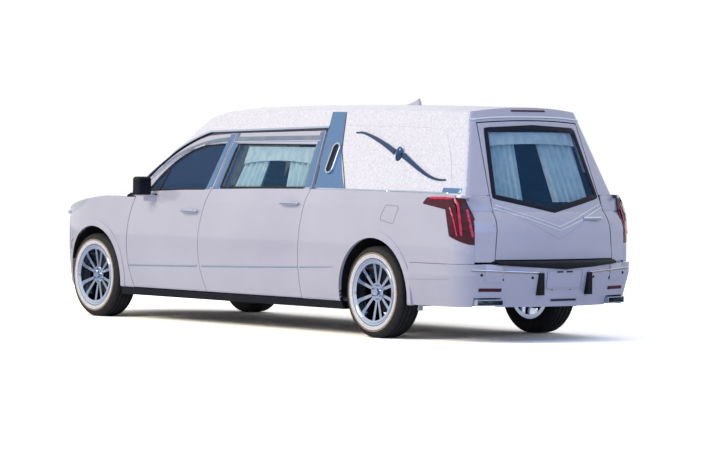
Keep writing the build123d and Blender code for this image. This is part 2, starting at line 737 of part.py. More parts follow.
def body_side():
    """Left body side: inner wall with the door openings, quarter panel, wheel house, pillars."""
    inner = block(*INNER_X, -1700, 2800, SILL_LOW_Z + 15, 1185) - ABOVE_BELT
    for low, high in DOOR_OPENINGS:
        inner -= block(700, 1000, low, high, OPENING_Z, 1300)
    sill = block(INNER_X[0] - 90, INNER_X[1], -1690, 1250, SILL_LOW_Z + 15, OPENING_Z)
    quarter = rear_side(side_section(0, SKIN), 700) - ABOVE_BELT
    quarter -= across(grown(DOORS["rear"], GAP / 2), 0)
    lip = rear_side(side_section(-FLARE_PROUD, SKIN), 1200)
    lip &= drum(480, 1200, AXLE_REAR_Y, WHEEL_R, FLARE_R)
    quarter += lip & block(480, 1200, 1200, 2500, SILL_Z, 1200)
    quarter -= block(0, 1200, BUMPER_FRONT_Y, 3300, 0, BUMPER_Z[2] + 2)
    quarter -= block(0, 1200, 600, 3300, 0, SILL_Z)
    quarter -= tail(-150, 0)
    post = block(INNER_X[0], HALF_WIDTH - 12, 992, 1012, OPENING_Z - 60, 1180) - ABOVE_BELT
    post &= straight_side(side_section(4), 900, 1100)
    corner = tail(0, SKIN) & block(TAIL_DOOR_HALF_W[0] - 60, 776, 2700, 3200, BUMPER_Z[2] + 2, 1160)
    corner -= along(tail_door_outline(FRAME_GAP / 2), 2400, 3300)
    corner -= block(0, STEP_HALF_W + SEAT_GAP, 2700, 3300, 500, STEP_Z[1] + SEAT_GAP)
    corner -= cabin(-1)
    for z_low, z_high in TAIL_LEAF_Z:
        leaf = block(*TAIL_LEAF, z_low, z_high)
        corner += leaf - along(tail_door_outline(SEAT_GAP - GAP / 2), 2400, 3300)
    rear_wall = block(DECK_X, INNER_X[1], 2750, 2800, 560, 1185) - ABOVE_BELT
    upper = cabin(WALL + SEAT_GAP) - cabin(WALL + 58)
    upper &= across(outline((-1650, 1110), (1450, 1110), (1250, 1800), (-500, 1800), (-1180, 1600)), 0)
    holes = (across(DOORS["front"], 0) + across(DOORS["rear"], 0)) & (cabin(0) - cabin(WALL + 33))
    upper -= holes
    upper -= block(INNER_X[1], 1000, -1700, BAND_LOW[0], 1000, 1200)
    upper -= across(front_window_outline(12), 0) + across(rear_window_outline(12), 0)
    upper -= screen_hole()
    upper &= side_zone(-1700)
    arch_tube = drum(486, HALF_WIDTH - 30, AXLE_REAR_Y, WHEEL_R, LINER_R + LINER_T)
    arch_tube -= drum(494, 1200, AXLE_REAR_Y, WHEEL_R, LINER_R)
    arch_tube -= block(0, 1200, 1000, 2800, -200, FLOOR_Z + 20)
    inner -= block(780, 900, BUMPER_FRONT_Y - 1, 2900, 0, 560)
    side = inner - drum(480, 1200, AXLE_REAR_Y, WHEEL_R, LINER_R + 4) - holes
    for y_low, y_high in DOOR_PAD_Y:
        for z_low, z_high in DOOR_PAD_Z:
            side += block(INNER_X[1], HALF_WIDTH - SKIN - DOOR_DEPTH - SEAT_GAP, y_low, y_high,
                          z_low, z_high)
    side += sill + post + quarter + shoulder_shelf() + rear_wall + corner + arch_tube
    side += upper
    side -= REAR_ARCH
    side -= tail_lamp_pocket()
    return side


def fuel_flap_outline(by):
    return grown(outline(*FUEL_FLAP), by)


def fuel_flap():
    flap = rear_side(side_section(0, FUEL_FLAP_T), 1300)
    return flap & across(fillet(fuel_flap_outline(-FUEL_GAP).vertices(), 22), 0)


def fuel_pocket():
    pocket = rear_side(side_section(-20, FUEL_FLAP_T + SEAT_GAP), 1300)
    return pocket & across(fillet(fuel_flap_outline(0).vertices(), 25), 0)


# ---- tail -------------------------------------------------------------------------------------
def tail_door():
    skin = tail(0, SKIN) & along(tail_door_outline(-GAP / 2), 2400, 3300)
    box = tail(SKIN, TAIL_DEPTH) & along(tail_door_outline(-BOX_INSET), 2400, 3300)
    return (skin + box) - along(tail_window_outline(), 2400, 3300)


def tail_glass():
    sheet = tail(4, 4 + GLASS)
    return sheet & along(tail_window_outline(-SEAT_GAP), 2400, 3300)


def tail_curtain():
    sheet = tail(CURTAIN_INSET[0] - 6, CURTAIN_INSET[1] - 6)
    return sheet & along(tail_window_outline(-SEAT_GAP), 2400, 3300)


def tail_lamp():
    """Left lamp, round the rear corner."""
    lens = rear_side(side_section(-3, 26), 1300) - ABOVE_BELT - tail(-150, -3)
    return (lens & across(outline(*TAIL_LAMP), 0)).solids().sort_by(SortBy.VOLUME)[-1]


def tail_lamp_pocket():
    pocket = rear_side(side_section(-20, 26 + SEAT_GAP), 1300)
    return pocket & across(grown(outline(*TAIL_LAMP), SEAT_GAP), 0)


def high_lamp():
    half, z_low, z_high = HIGH_LAMP
    return (cabin(-4) - cabin(10)) & block(-half, half, 2500, 3000, z_low, z_high)


def high_lamp_pocket():
    half, z_low, z_high = [size + SEAT_GAP for size in HIGH_LAMP]
    return block(-half, half, 2500, 3000, z_low - 2 * SEAT_GAP, z_high) - cabin(10 + SEAT_GAP)


def bumper_plan(inset, reach):
    """Whole plan of the rear bumper at an inset from its outer face."""
    points = [(x, y - inset) for x, y in BUMPER_HALF]
    corner, side = [(x - inset, y - inset * 0.6) for x, y in BUMPER_CORNER]
    left = [points[1], points[2], points[3]]
    legs = left + [(corner, side), (HALF_WIDTH - inset, 2700), (HALF_WIDTH - inset, reach)]
    mirrored = [(-(HALF_WIDTH - inset), reach), (-(HALF_WIDTH - inset), 2700), (-side[0], side[1]),
                ((-corner[0], corner[1]), (-points[3][0], points[3][1])),
                (-points[2][0], points[2][1]), (-points[1][0], points[1][1])]
    return outline(points[0], *legs, *mirrored)


def bumper_block(inset):
    low, middle, high = BUMPER_Z
    foot = (Plane.XY.offset(low) * bumper_plan(inset + BUMPER_TUCK, 2200)).face()
    waist = (Plane.XY.offset(middle) * bumper_plan(inset, 2200)).face()
    shape = loft([foot, waist], ruled=True)
    return shape + upright(bumper_plan(inset, 2200), middle, high)


def rear_bumper():
    shape = bumper_block(0) - bumper_block(BUMPER_T)
    cap = upright(bumper_plan(4, 2200), BUMPER_Z[2] - 18, BUMPER_Z[2])
    cap -= upright(outline((-640, 2000), (640, 2000), (640, 3046), (0, 3099), (-640, 3046)), 0, 2000)
    cap -= both_sides(block(600, INNER_X[1] + SEAT_GAP, 2000, 2800 + SEAT_GAP, 0, 2000))
    shape += cap
    shape -= block(-1200, 1200, 2000, BUMPER_FRONT_Y, 0, 1200)
    shape -= both_sides(drum(480, 1200, AXLE_REAR_Y, WHEEL_R, ARCH_R))
    shape -= both_sides(block(TIP_X[0] - 2, TIP_X[1] + 2, 2700, 3300, TIP_Z[0] - 40, TIP_Z[1] + 12))
    shape -= block(-700, 700, 2900, 3060, 500, 900)
    return shape.solids().sort_by(SortBy.VOLUME)[-1]


def step_plate():
    """Black tread over the bumper, with two rubber guards down its face."""
    high = STEP_Z[1]
    half = STEP_HALF_W
    seat_z = BUMPER_Z[2] + SEAT_GAP
    plan = outline((-half, 2990), (-half, 3040), (-560, 3060), ((0, TAIL_Y - 5), (560, 3060)),
                   (half, 3040), (half, 2990))
    wedge = across(outline((2900, high - 14), (3040, high - 4), (TAIL_Y, seat_z + 2),
                           (TAIL_Y, seat_z), (2900, seat_z)), -half, half)
    return wedge & upright(plan, 500, 700)


def guards():
    bars = both_sides(block(*GUARD_X, TAIL_Y - 80, GUARD_BACK_Y, *GUARD_Z))
    return bars - bumper_block(-SEAT_GAP)


# ---- trim that gives the look -----------------------------------------------------------------
def on_cabin(shape, proud, sink=0):
    return (cabin(-proud) - cabin(sink)) & shape


def drip_rail():
    low, bend, crest, end = RAIL
    rise = RAIL_HEIGHT
    face = outline(low, (bend, crest), end, (end[0], end[1] + rise), (crest[0], crest[1] + rise),
                   ((bend[0] - rise * 0.5, bend[1] + rise * 0.9), (low[0] - rise, low[1] + rise)))
    return on_cabin(across(face, 0), 9)


def landau_bar():
    """S-shaped bar in two tapered halves, meeting at a round boss."""
    start, boss, end = LANDAU
    half = LANDAU_HALF_W
    upper = outline((start[0], start[1] + 8), ((1640, 1640 + half), (boss[0] - 40, boss[1] + half)),
                    (boss[0] + 10, boss[1] - half), ((1660, 1580), (start[0], start[1] - 8)))
    lower = outline((boss[0] - 10, boss[1] + half), ((2300, 1400), (end[0], end[1] + 8)),
                    (end[0], end[1] - 8), ((2310, 1320 - 10), (boss[0] + 10, boss[1] - half)))
    shape = on_cabin(across(upper, 0) + across(lower, 0), 14)
    disc = across(Pos(*boss) * Circle(LANDAU_BOSS_R), 0)
    return shape + on_cabin(disc, 20)


def opera_lamp():
    top, low = OPERA
    run = (top[0] - low[0], top[1] - low[1])
    size = sqrt(run[0] ** 2 + run[1] ** 2)
    side = (run[1] / size * OPERA_HALF_W, -run[0] / size * OPERA_HALF_W)
    pill = outline((low[0] - side[0], low[1] - side[1]), (top[0] - side[0], top[1] - side[1]),
                   (top[0] + side[0], top[1] + side[1]), (low[0] + side[0], low[1] + side[1]))
    pill = fillet(pill.vertices(), OPERA_HALF_W * 0.8)
    return on_cabin(across(pill, 0), 24)


def sill_cover():
    """Black strip along the foot of the left side, between the wheels."""
    back = INNER_X[1] + SEAT_GAP - HALF_WIDTH
    low, high = SILL_LOW_Z - 8, SILL_Z - 6
    strip = outline((back, low), (-42, low), (-30, high), (back, high))
    return straight_side(strip, -1840, 1460) - FRONT_ARCH - REAR_ARCH


def antenna():
    top = (1274, 1950)
    fin = across(outline((1079, 1880), (1085, 1893), ((1190, 1915), top), (1290, 1880)), -26, 26)
    taper = along(outline((-26, 1850), (26, 1850), (6, 1952), (-6, 1952)), 1000, 1400)
    return (fin & taper) - cabin(-SEAT_GAP)


# ---- inside -----------------------------------------------------------------------------------
def floor_pan():
    """Pressed floor, raised over the rear axle, with wheel houses cut out."""
    front = block(-700, 700, -1700, 900, FLOOR_Z, FLOOR_Z + FLOOR_T)
    riser = block(-700, 700, 900, 900 + FLOOR_T, FLOOR_Z, REAR_FLOOR_Z)
    rear = block(-700, 700, 900, 2800, REAR_FLOOR_Z - FLOOR_T, REAR_FLOOR_Z)
    tunnel = block(-130, 130, -1700, 900, FLOOR_Z + FLOOR_T, FLOOR_Z + 130)
    shape = front + riser + rear + tunnel
    shape -= both_sides(drum(480, 1200, AXLE_REAR_Y, WHEEL_R, LINER_R + 9))
    return shape


def firewall():
    half = INNER_X[1]
    wall = block(-half, half, -1735, -1700, FLOOR_Z - 60, 1060)
    rails = both_sides(block(*RAIL_X, -3020, -1735, RAIL_Z[0], RAIL_Z[1]))
    beam = block(-560, 560, -3040, -3010, 420, 560) + both_sides(block(440, 520, -3090, -3010, 420, 560))
    towers = both_sides(block(RAIL_X[0], RAIL_X[1] - 10, -2330, -2140, RAIL_Z[1], 860))
    buffers = both_sides(block(RAIL_X[0] + 10, RAIL_X[1] - 40, -2260, -2210, 860, 1200))
    return wall + rails + towers + ((beam + buffers) & front_block(SKIN + SEAT_GAP))


def engine_block():
    return block(-260, 260, -2880, -2200, *ENGINE_Z)


def front_subframe():
    cross = block(-330, 330, -2290, -2190, 205, 265)
    arms = both_sides(block(330, 700, -2270, -2210, ARM_Z[0], ARM_Z[1]))
    posts = both_sides(block(RAIL_X[0] + 5, RAIL_X[1] - 15, -2270, -2210, ARM_Z[1],
                             RAIL_Z[0] - SEAT_GAP))
    mounts = both_sides(block(120, 180, -2290, -2190, 265, ENGINE_Z[0] - SEAT_GAP))
    return cross + arms + posts + mounts


def knuckle():
    kingpin = rod((KINGPIN_X, AXLE_FRONT_Y, ARM_Z[1] + SEAT_GAP), (KINGPIN_X, AXLE_FRONT_Y, 540), 26)
    hub = drum(KINGPIN_X, HUB_END_X, AXLE_FRONT_Y, WHEEL_R, HUB_R)
    disc = drum(778, 802, AXLE_FRONT_Y, WHEEL_R, DISC_R)
    return kingpin + hub + disc


def rear_axle():
    beam = block(-560, 560, AXLE_REAR_Y - 60, AXLE_REAR_Y + 60, 250, 330)
    posts = both_sides(block(424, 472, AXLE_REAR_Y - 50, AXLE_REAR_Y + 50, 330,
                             REAR_FLOOR_Z - FLOOR_T - SEAT_GAP))
    carriers = both_sides(block(560, 698, AXLE_REAR_Y - 45, AXLE_REAR_Y + 45, 260, 480))
    hubs = both_sides(drum(690, HUB_END_X, AXLE_REAR_Y, WHEEL_R, HUB_R))
    discs = both_sides(drum(778, 802, AXLE_REAR_Y, WHEEL_R, DISC_R))
    return beam + posts + carriers + hubs + discs


def exhaust():
    """Two pipes under the floor, two silencers, a trapezoid tip at each corner."""
    pipe_z = FLOOR_Z - PIPE_R - SEAT_GAP
    over_z = REAR_FLOOR_Z - FLOOR_T - SEAT_GAP - 2 * PIPE_R
    pipes = both_sides(rod((250, -1500, pipe_z), (250, 1500, pipe_z), PIPE_R))
    silencer = block(380, 700, 2480, 2880, 330, 480)
    link = block(250 - PIPE_R, 250 + PIPE_R, 1436, 1500, pipe_z, over_z + 2 * PIPE_R)
    over = block(250 - PIPE_R, 420, 1436, 1500, over_z, over_z + 2 * PIPE_R)
    over += block(420 - 2 * PIPE_R, 420, 1440, 2500, over_z, over_z + 2 * PIPE_R)
    tip = block(*TIP_X, 2780, 3096, *TIP_Z)
    tip = tip & upright(bumper_plan(6, 2200), 0, 600)
    hollow = block(TIP_X[0] + 8, TIP_X[1] - 8, 2840, 3200, TIP_Z[0] + 8, TIP_Z[1] - 8)
    neck = block(560, 640, 2770, 2790, TIP_Z[0] + 10, TIP_Z[1] - 5)
    neck += block(560, 640, 2770, 2790, 340, 380)
    return both_sides(silencer + (tip - hollow) + neck + link + over) + pipes


def dashboard():
    half, y_low, y_high, z_low, z_high = DASH
    shape = block(-half, half, y_low, y_high, z_low, z_high)
    shape = fillet(shape.edges().filter_by(Axis.X), 60)
    lean = radians(STEER_LEAN)
    ends = [(STEER_CENTRE[0], STEER_CENTRE[1] - reach * cos(lean), STEER_CENTRE[2] - reach * sin(lean))
            for reach in (450, STEER_HUB_T / 2 + SEAT_GAP)]
    column = rod(ends[0], ends[1], 26)
    feet = both_sides(block(700, half, -1700 + SEAT_GAP, y_low + 40, z_low + 20, z_high - 80))
    return shape + feet + column


def steering_wheel():
    rim = Torus(STEER_R, 15)
    hub = Cylinder(48, STEER_HUB_T) + Pos(0, -STEER_R / 2, 0) * Box(24, STEER_R, 14)
    hub += Box(2 * STEER_R, 26, 14)
    return Pos(*STEER_CENTRE) * Rot(-90 + STEER_LEAN + 180, 0, 0) * (rim + hub)


def seat(x):
    cushion = block(x - SEAT_HALF_W, x + SEAT_HALF_W, -1010, -480, 560, 690)
    base = block(x - 190, x + 190, -960, -520, FLOOR_Z + FLOOR_T + SEAT_GAP, 560)
    back = Pos(x, -470, 690) * Rot(-14, 0, 0) * Pos(0, 0, 290) * Box(2 * SEAT_HALF_W, 110, 620)
    rest = Pos(x, -470, 690) * Rot(-14, 0, 0) * Pos(0, 0, 670) * Box(250, 80, 170)
    shape = cushion + base + back + rest
    return shape


def front_seats():
    return seat(SEAT_X) + seat(-SEAT_X)


def casket_deck():
    """Carpeted deck of the load space, with rollers let into it."""
    x_half = DECK_X
    deck = block(-x_half, x_half, *DECK_Y, *DECK_Z)
    deck -= both_sides(drum(480, 1200, AXLE_REAR_Y, WHEEL_R, LINER_R + 9))
    deck += block(-x_half, x_half, DECK_Y[0], DECK_Y[0] + 30, FLOOR_Z + FLOOR_T + SEAT_GAP, 1140)
    deck -= block(-131, 131, DECK_Y[0] - 10, DECK_Y[0] + 40, FLOOR_Z, FLOOR_Z + 131)
    legs = [block(-470, 470, y, y + 30, REAR_FLOOR_Z + SEAT_GAP, DECK_Z[0]) for y in (1000, 2300, 2750)]
    for leg in legs:
        deck += leg
    for y in ROLLERS:
        deck += drum(-230, 230, y, DECK_Z[1], ROLLER_R)
    return deck


# ---- wheels -----------------------------------------------------------------------------------
def tyre(x, y):
    half = TYRE_WIDTH / 2
    crown_x = half - 28
    face = outline((RIM_R - 8, -half + 18), ((RIM_R + 50, -half - 0.1), (WHEEL_R - 26, -half + 8)),
                   ((WHEEL_R - 7, -half + 16), (WHEEL_R, -crown_x)), (WHEEL_R, crown_x),
                   ((WHEEL_R - 7, half - 16), (WHEEL_R - 26, half - 8)),
                   ((RIM_R + 50, half + 0.1), (RIM_R - 8, half - 18)))
    ring = revolve(face, Axis.Y, 360)
    return Pos(x, y, WHEEL_R) * Rot(0, 0, 90) * ring


def rim(x, y):
    """Chrome wheel: barrel, six pairs of splayed spokes, plain cap.  Outer face towards +X."""
    half = TYRE_WIDTH / 2
    lip = RIM_R - 8.3
    barrel = outline((lip, -half + 18), (lip, half - 14), (lip - 4, half - 10), (lip - 22, half - 14), (lip - 20, 40),
                     (lip - 34, -half + 18))
    shape = revolve(barrel, Axis.Y, 360)
    shape = Rot(0, 0, -90) * shape
    face_x = RIM_FACE_X - WHEEL_X
    shape += Pos(face_x, 0, 0) * Rot(0, 90, 0) * Cylinder(HUB_PAD_R, PAD_T)
    for index in range(SPOKE_PAIRS):
        for side in (-1, 1):
            spoke = outline((side * 4 - 11, 40), (side * 4 + 11, 40), (side * 52 + 16, lip - 16), (side * 52 - 16, lip - 16))
            bar = extrude(Plane.XY * spoke, 24)
            bar = Pos(face_x - 12, 0, 0) * Rot(0, 90, 0) * Rot(0, 0, 90 + index * 360 / SPOKE_PAIRS) * bar
            shape += bar
    if x < 0:
        shape = flipped(shape)
    return Pos(x, y, WHEEL_R) * shape


# ---- write ------------------------------------------------------------------------------------
def nodes():
    """Every node by name."""
    left_side = body_side()
    left = {
        "front_door": front_door(), "rear_door": rear_door(),
        "front_door_glass": side_glass(front_window_outline()),
        "rear_door_glass": side_glass(rear_window_outline()),
        "rear_door_curtain": side_curtain(), "mirror": mirror_shell(), "fender": fender(),
        "upper_quarter": upper_quarter(), "knuckle": knuckle(),
    }
    pieces = {"body_side_left": left_side - fuel_pocket(), "body_side_right": flipped(left_side),
              "fuel_flap": fuel_flap()}
    for name, shape in left.items():
        pieces[name + "_left"] = shape
        pieces[name + "_right"] = flipped(shape)
    for end, y in (("front", AXLE_FRONT_Y), ("rear", AXLE_REAR_Y)):
        for side, x in (("left", WHEEL_X), ("right", -WHEEL_X)):
            pieces[f"tyre_{end}_{side}"] = tyre(x, y)
            pieces[f"rim_{end}_{side}"] = rim(x, y)
    pairs = {"headlamps": headlamp(), "pillar_bands": pillar_band(), "drip_rails": drip_rail(),
             "landau_bars": landau_bar(), "opera_lamps": opera_lamp(), "sill_covers": sill_cover()}
    for name, shape in pairs.items():
        pieces[name] = both_sides(shape)
    pieces["tail_lamps"] = both_sides(tail_lamp()) + high_lamp()
    pieces["step_plate"] = step_plate() + guards()
    single = {"bonnet": bonnet, "front_bumper": front_bumper, "grille": grille, "cowl": cowl,
              "windscreen": windscreen, "roof": roof, "tail_door": tail_door,
              "tail_door_glass": tail_glass, "tail_door_curtain": tail_curtain,
              "rear_bumper": rear_bumper, "antenna": antenna, "floor_pan": floor_pan,
              "firewall": firewall, "engine_block": engine_block,
              "front_subframe": front_subframe, "rear_axle": rear_axle, "exhaust": exhaust,
              "dashboard": dashboard, "steering_wheel": steering_wheel,
              "front_seats": front_seats, "casket_deck": casket_deck}
    for name, make in single.items():
        pieces[name] = make()
    return pieces


os.makedirs("parts", exist_ok=True)
for node, piece in nodes().items():
    export_step(piece, f"parts/{node}.step")
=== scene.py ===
"""Looks of a white funeral coach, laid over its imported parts.  Metres, +Y towards the tail."""
import bmesh
import bpy
import json
from math import cos, pi, radians, sin, sqrt
from mathutils import Matrix, Vector
from mathutils.bvhtree import BVHTree


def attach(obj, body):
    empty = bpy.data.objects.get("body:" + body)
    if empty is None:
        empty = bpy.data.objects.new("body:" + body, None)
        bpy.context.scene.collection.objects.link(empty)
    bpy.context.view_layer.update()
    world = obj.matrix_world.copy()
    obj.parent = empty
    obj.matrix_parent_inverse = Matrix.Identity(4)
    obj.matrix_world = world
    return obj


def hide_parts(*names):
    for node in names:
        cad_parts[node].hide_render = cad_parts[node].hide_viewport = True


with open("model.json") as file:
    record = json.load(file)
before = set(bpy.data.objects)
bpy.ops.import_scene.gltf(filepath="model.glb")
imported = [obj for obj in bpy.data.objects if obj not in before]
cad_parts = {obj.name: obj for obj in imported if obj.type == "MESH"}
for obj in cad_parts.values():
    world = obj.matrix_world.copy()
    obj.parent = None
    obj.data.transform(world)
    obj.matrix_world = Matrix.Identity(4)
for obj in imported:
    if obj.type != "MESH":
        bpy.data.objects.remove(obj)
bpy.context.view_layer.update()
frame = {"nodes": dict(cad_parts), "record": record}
CAD = frame["nodes"]
SIDES = (("left", 1), ("right", -1))
AXLE_Y = {"front": -2.235, "rear": 1.865}
WHEEL_X = 0.8175
WHEEL_Z = 0.372


# ---- materials ----
def linear(code):
    """sRGB hex to the linear colour that a shader takes."""
    parts = [int(code[i:i + 2], 16) / 255 for i in (1, 3, 5)]
    return tuple(v / 12.92 if v <= 0.04045 else ((v + 0.055) / 1.055) ** 2.4 for v in parts) + (1.0,)


def add(tree, kind, settings=(), links=()):
    """Adds a node, sets its sockets or properties, and links (socket, source node, output)."""
    new = tree.nodes.new(kind)
    for name, value in dict(settings).items():
        if isinstance(name, int) or name in new.inputs:
            new.inputs[name].default_value = value
        else:
            setattr(new, name, value)
    for socket, source, output in links:
        tree.links.new(source.outputs[output], new.inputs[socket])
    return new


def place(tree, scale=(1, 1, 1)):
    """Object coordinates through a Mapping."""
    where = add(tree, "ShaderNodeTexCoord")
    return add(tree, "ShaderNodeMapping", {"Scale": scale}, [("Vector", where, "Object")])


def varied(tree, dark, light, size, low=0.35, high=0.65):
    """Slow change between two colours, or two values of roughness, over `size` metres."""
    cloud = add(tree, "ShaderNodeTexNoise", {"Scale": 1 / size, "Detail": 5.0},
                [("Vector", place(tree), "Vector")])
    ramp = add(tree, "ShaderNodeValToRGB", {}, [("Fac", cloud, "Fac")])
    for stop, at, tone in zip(ramp.color_ramp.elements, (low, high), (dark, light)):
        stop.position = at
        stop.color = linear(tone) if isinstance(tone, str) else (tone, tone, tone, 1)
    socket = "Base Color" if isinstance(dark, str) else "Roughness"
    tree.links.new(ramp.outputs["Color"], tree.nodes["Principled BSDF"].inputs[socket])


def grained(tree, size, depth, kind="Noise", scale=(1, 1, 1)):
    """Bump whose grain is `size` metres across."""
    fineness = {"Scale": 1 / size, "Detail": 3.0} if kind == "Noise" else {"Scale": 1 / size}
    texture = add(tree, "ShaderNodeTex" + kind, fineness, [("Vector", place(tree, scale), "Vector")])
    bump = add(tree, "ShaderNodeBump", {"Strength": 0.6, "Distance": depth},
               [("Height", texture, "Fac" if kind == "Noise" else "Distance")])
    tree.links.new(bump.outputs["Normal"], tree.nodes["Principled BSDF"].inputs["Normal"])


def made_of(name, colour, roughness, tones=None, grain=None, **more):
    """A material; `tones` goes to varied, `grain` to grained, `more` names sockets with _ for a space."""
    material = bpy.data.materials.new(name)
    material.use_nodes = True
    tree = material.node_tree
    sockets = {"Base Color": linear(colour), "Roughness": roughness, **more}
    for socket, value in sockets.items():
        tree.nodes["Principled BSDF"].inputs[socket.replace("_", " ")].default_value = value
    if tones:
        varied(tree, *tones)
    if grain:
        grained(tree, *grain)
    return material


M = {
    # pearl lacquer, sprayed and polished: deep clear gloss with a faint lilac cast
    "paint": made_of("pearl_lacquer", "#C5C4D0", 0.3, ("#C0BFCC", "#C9C8D3", 0.9), Coat_Weight=1.0,
                     Coat_Roughness=0.04),
    # padded PVC hide, embossed grain: soft sheen, mottled at random with painted shade, as where the
    # padding sits lower
    "vinyl": made_of("padded_vinyl", "#F1F0F1", 0.52, ("#E2E0E5", "#FDFCFD", 0.018, 0.3, 0.7),
                     (0.003, 0.0008, "Voronoi"), Specular_IOR_Level=0.4),
    # chromium plate on steel: mirror with a cool tone
    "chrome": made_of("bright_chrome", "#BCC8DA", 0.06, (0.04, 0.11, 0.05), Metallic=1.0),
    # polished stainless cladding: its blue is a painted reflection of the sky
    "stainless": made_of("polished_stainless", "#6488B0", 0.22, (0.16, 0.28, 0.2), Metallic=0.5),
    # darker plate of the landau bars: its navy is a painted reflection of the sky, with bright edges
    "painted_sky_chrome": made_of("painted_sky_chrome", "#3E5578", 0.12, (0.08, 0.18, 0.03), Metallic=1.0),
    # grey moulding under the drip rail over the windows, matt and even: its grey is painted shade and its
    # blue tint a painted reflection of the sky; also painted shade round the bumper's slot
    "painted_shade_grey": made_of("grey_painted_shade", "#7F8A98", 0.45, ("#76818F", "#8994A1", 0.2)),
    # gold-toned plate on the underside of the strips and in the tyres' stripe: warm against the chrome
    "gold": made_of("gold_stripe", "#B9975A", 0.4, ("#AE8C50", "#C4A368", 0.03)),
    # white side rubber: chalky band, a little soiled
    "whitewall": made_of("whitewall_rubber", "#E6E6EA", 0.6, ("#D9D9DE", "#EDEDF0", 0.02),
                         (0.002, 0.0002)),
    # road rubber: black, dull, faint bloom
    "rubber": made_of("road_rubber", "#1A1A1C", 0.75, ("#141416", "#232326", 0.03), (0.0016, 0.0004)),
    # tinted glass: a thin see-through film of blue with a clean reflection
    "glass": made_of("tinted_glass", "#3878A4", 0.03, (0.01, 0.04, 0.3), Alpha=0.13, IOR=1.5,
                     Specular_IOR_Level=0.3),
    # deeper tint of the front doors and the windscreen: hides the cabin behind dark blue, partly the
    # glass's own tint and partly a painted reflection of a dark blue sky
    "glass_deep": made_of("deep_tint_and_painted_sky_glass", "#14406A", 0.03, (0.01, 0.04, 0.3), Alpha=0.7, IOR=1.5,
                          Specular_IOR_Level=0.15),
    # enamel fired on the glass: near black, with a blue cast
    "frit": made_of("black_enamel", "#0A1428", 0.2, ("#081124", "#0D182E", 0.1),
                    Specular_IOR_Level=0.15),
    # satin curtains: pale aqua, soft sheen along the folds
    "satin": made_of("aqua_satin", "#CFEDEF", 0.5, ("#BFE1E6", "#DBF5F5", 0.06),
                     (0.0008, 0.0002, "Noise", (1, 1, 6)), Sheen_Weight=0.3),
    # moulded black plastic: fine grain, no shine
    "black": made_of("grained_abs", "#0C1019", 0.5, ("#090D15", "#121722", 0.05), (0.0015, 0.0003),
                     Specular_IOR_Level=0.2),
    # soft black rubber of the seals: drinks the light
    "seal": made_of("seal_rubber", "#08080A", 0.6, grain=(0.003, 0.0002)),
    # dark red lens: glossy, deep wine
    "lamp_red": made_of("red_lens", "#4C0820", 0.08, ("#3C061C", "#5E0C28", 0.06), Specular_IOR_Level=0.3),
    # red light guides inside the lens: brighter, nearly pink
    "lamp_lit": made_of("red_light_guide", "#E0204C", 0.12, ("#D01440", "#F03460", 0.02),
                        Specular_IOR_Level=0.4),
    # headlamp cover over a grey bowl: cool glassy grey
    "lamp_clear": made_of("clear_lens", "#9FA9BC", 0.06, ("#97A2B6", "#A7B1C3", 0.2), Coat_Weight=1.0),
    # white light guides: milky and bright
    "lamp_white": made_of("white_light_guide", "#F2F5FA", 0.15, ("#EAEEF6", "#F7F9FC", 0.1),
                          Coat_Weight=1.0),
    # side marker lens: clear orange
    "amber": made_of("amber_lens", "#C2551C", 0.15, ("#A84612", "#D3682C", 0.01), Coat_Weight=1.0),
    # sprayed protection below: dull black, pebbled
    "underbody": made_of("underbody_coat", "#17181A", 0.7, ("#101113", "#1F2023", 0.08),
                         (0.004, 0.0006)),
    # cast iron and alloy: mid grey, rough skin
    "casting": made_of("bare_casting", "#55565A", 0.6, ("#47484C", "#66676C", 0.05), (0.003, 0.0005),
                       Metallic=0.8),
    # brushed steel pipe: warm grey with soft streaks
    "exhaust": made_of("brushed_steel", "#8D8E92", 0.35, (0.25, 0.5, 0.04), Metallic=1.0),
    # grey hide: fine cells, low sheen
    "leather": made_of("grey_leather", "#55535A", 0.5, ("#4C4A51", "#5E5C64", 0.05),
                       (0.003, 0.0006, "Voronoi")),
    # cut pile: very dark, fuzzy
    "carpet": made_of("cut_pile_carpet", "#20202A", 0.95, ("#191922", "#2A2A36", 0.006), (0.003, 0.0015),
                      Sheen_Weight=0.3),
    # headlining and door cards: dark blue, flat
    "lining": made_of("cabin_lining", "#252D44", 0.85, ("#20283E", "#2B344C", 0.05), (0.002, 0.0004))}
# the looks of each slot, the plain one first
LOOKS = {"chrome": ["chrome", "stainless", "painted_sky_chrome", "gold"], "body_paint": ["paint"],
         "vinyl": ["vinyl"], "tinted_glass": ["glass", "frit"], "curtain_fabric": ["satin"],
         "tyre": ["rubber"], "deck_carpet": ["carpet"], "seat_leather": ["leather"],
         "lamp_cover": ["lamp_clear", "lamp_white"], "lamp_red": ["lamp_red", "lamp_lit", "amber"],
         "black_plastic": ["black", "seal", "painted_shade_grey"], "underbody": ["underbody"],
         "engine_metal": ["casting"], "exhaust_steel": ["exhaust"]}
for entry in frame["record"]["subparts"]:
    carried = CAD[entry["node"]]
    carried.data.materials.clear()
    carried.data.materials.append(M[LOOKS[entry["material_slot"]][0]])
CAD["roof"].data.materials[0] = M["vinyl"]
# the bright bands take the stainless, its blue a painted reflection of the sky
CAD["pillar_bands"].data.materials[0] = M["stainless"]
# deep tint on the front doors and the windscreen, partly a painted reflection of a dark blue sky
for node in ("front_door_glass_left", "front_door_glass_right", "windscreen"):
    CAD[node].data.materials[0] = M["glass_deep"]


# ---- making pieces ----
FAR = 6  # where a line towards a skin starts, outside the coach
ACROSS = Matrix.Rotation(-pi / 2, 3, "Z")  # flank plane to tail plane
TO_SIDE = Matrix.Rotation(pi / 2, 3, "Y")
TO_TAIL = Matrix.Rotation(-pi / 2, 3, "X")


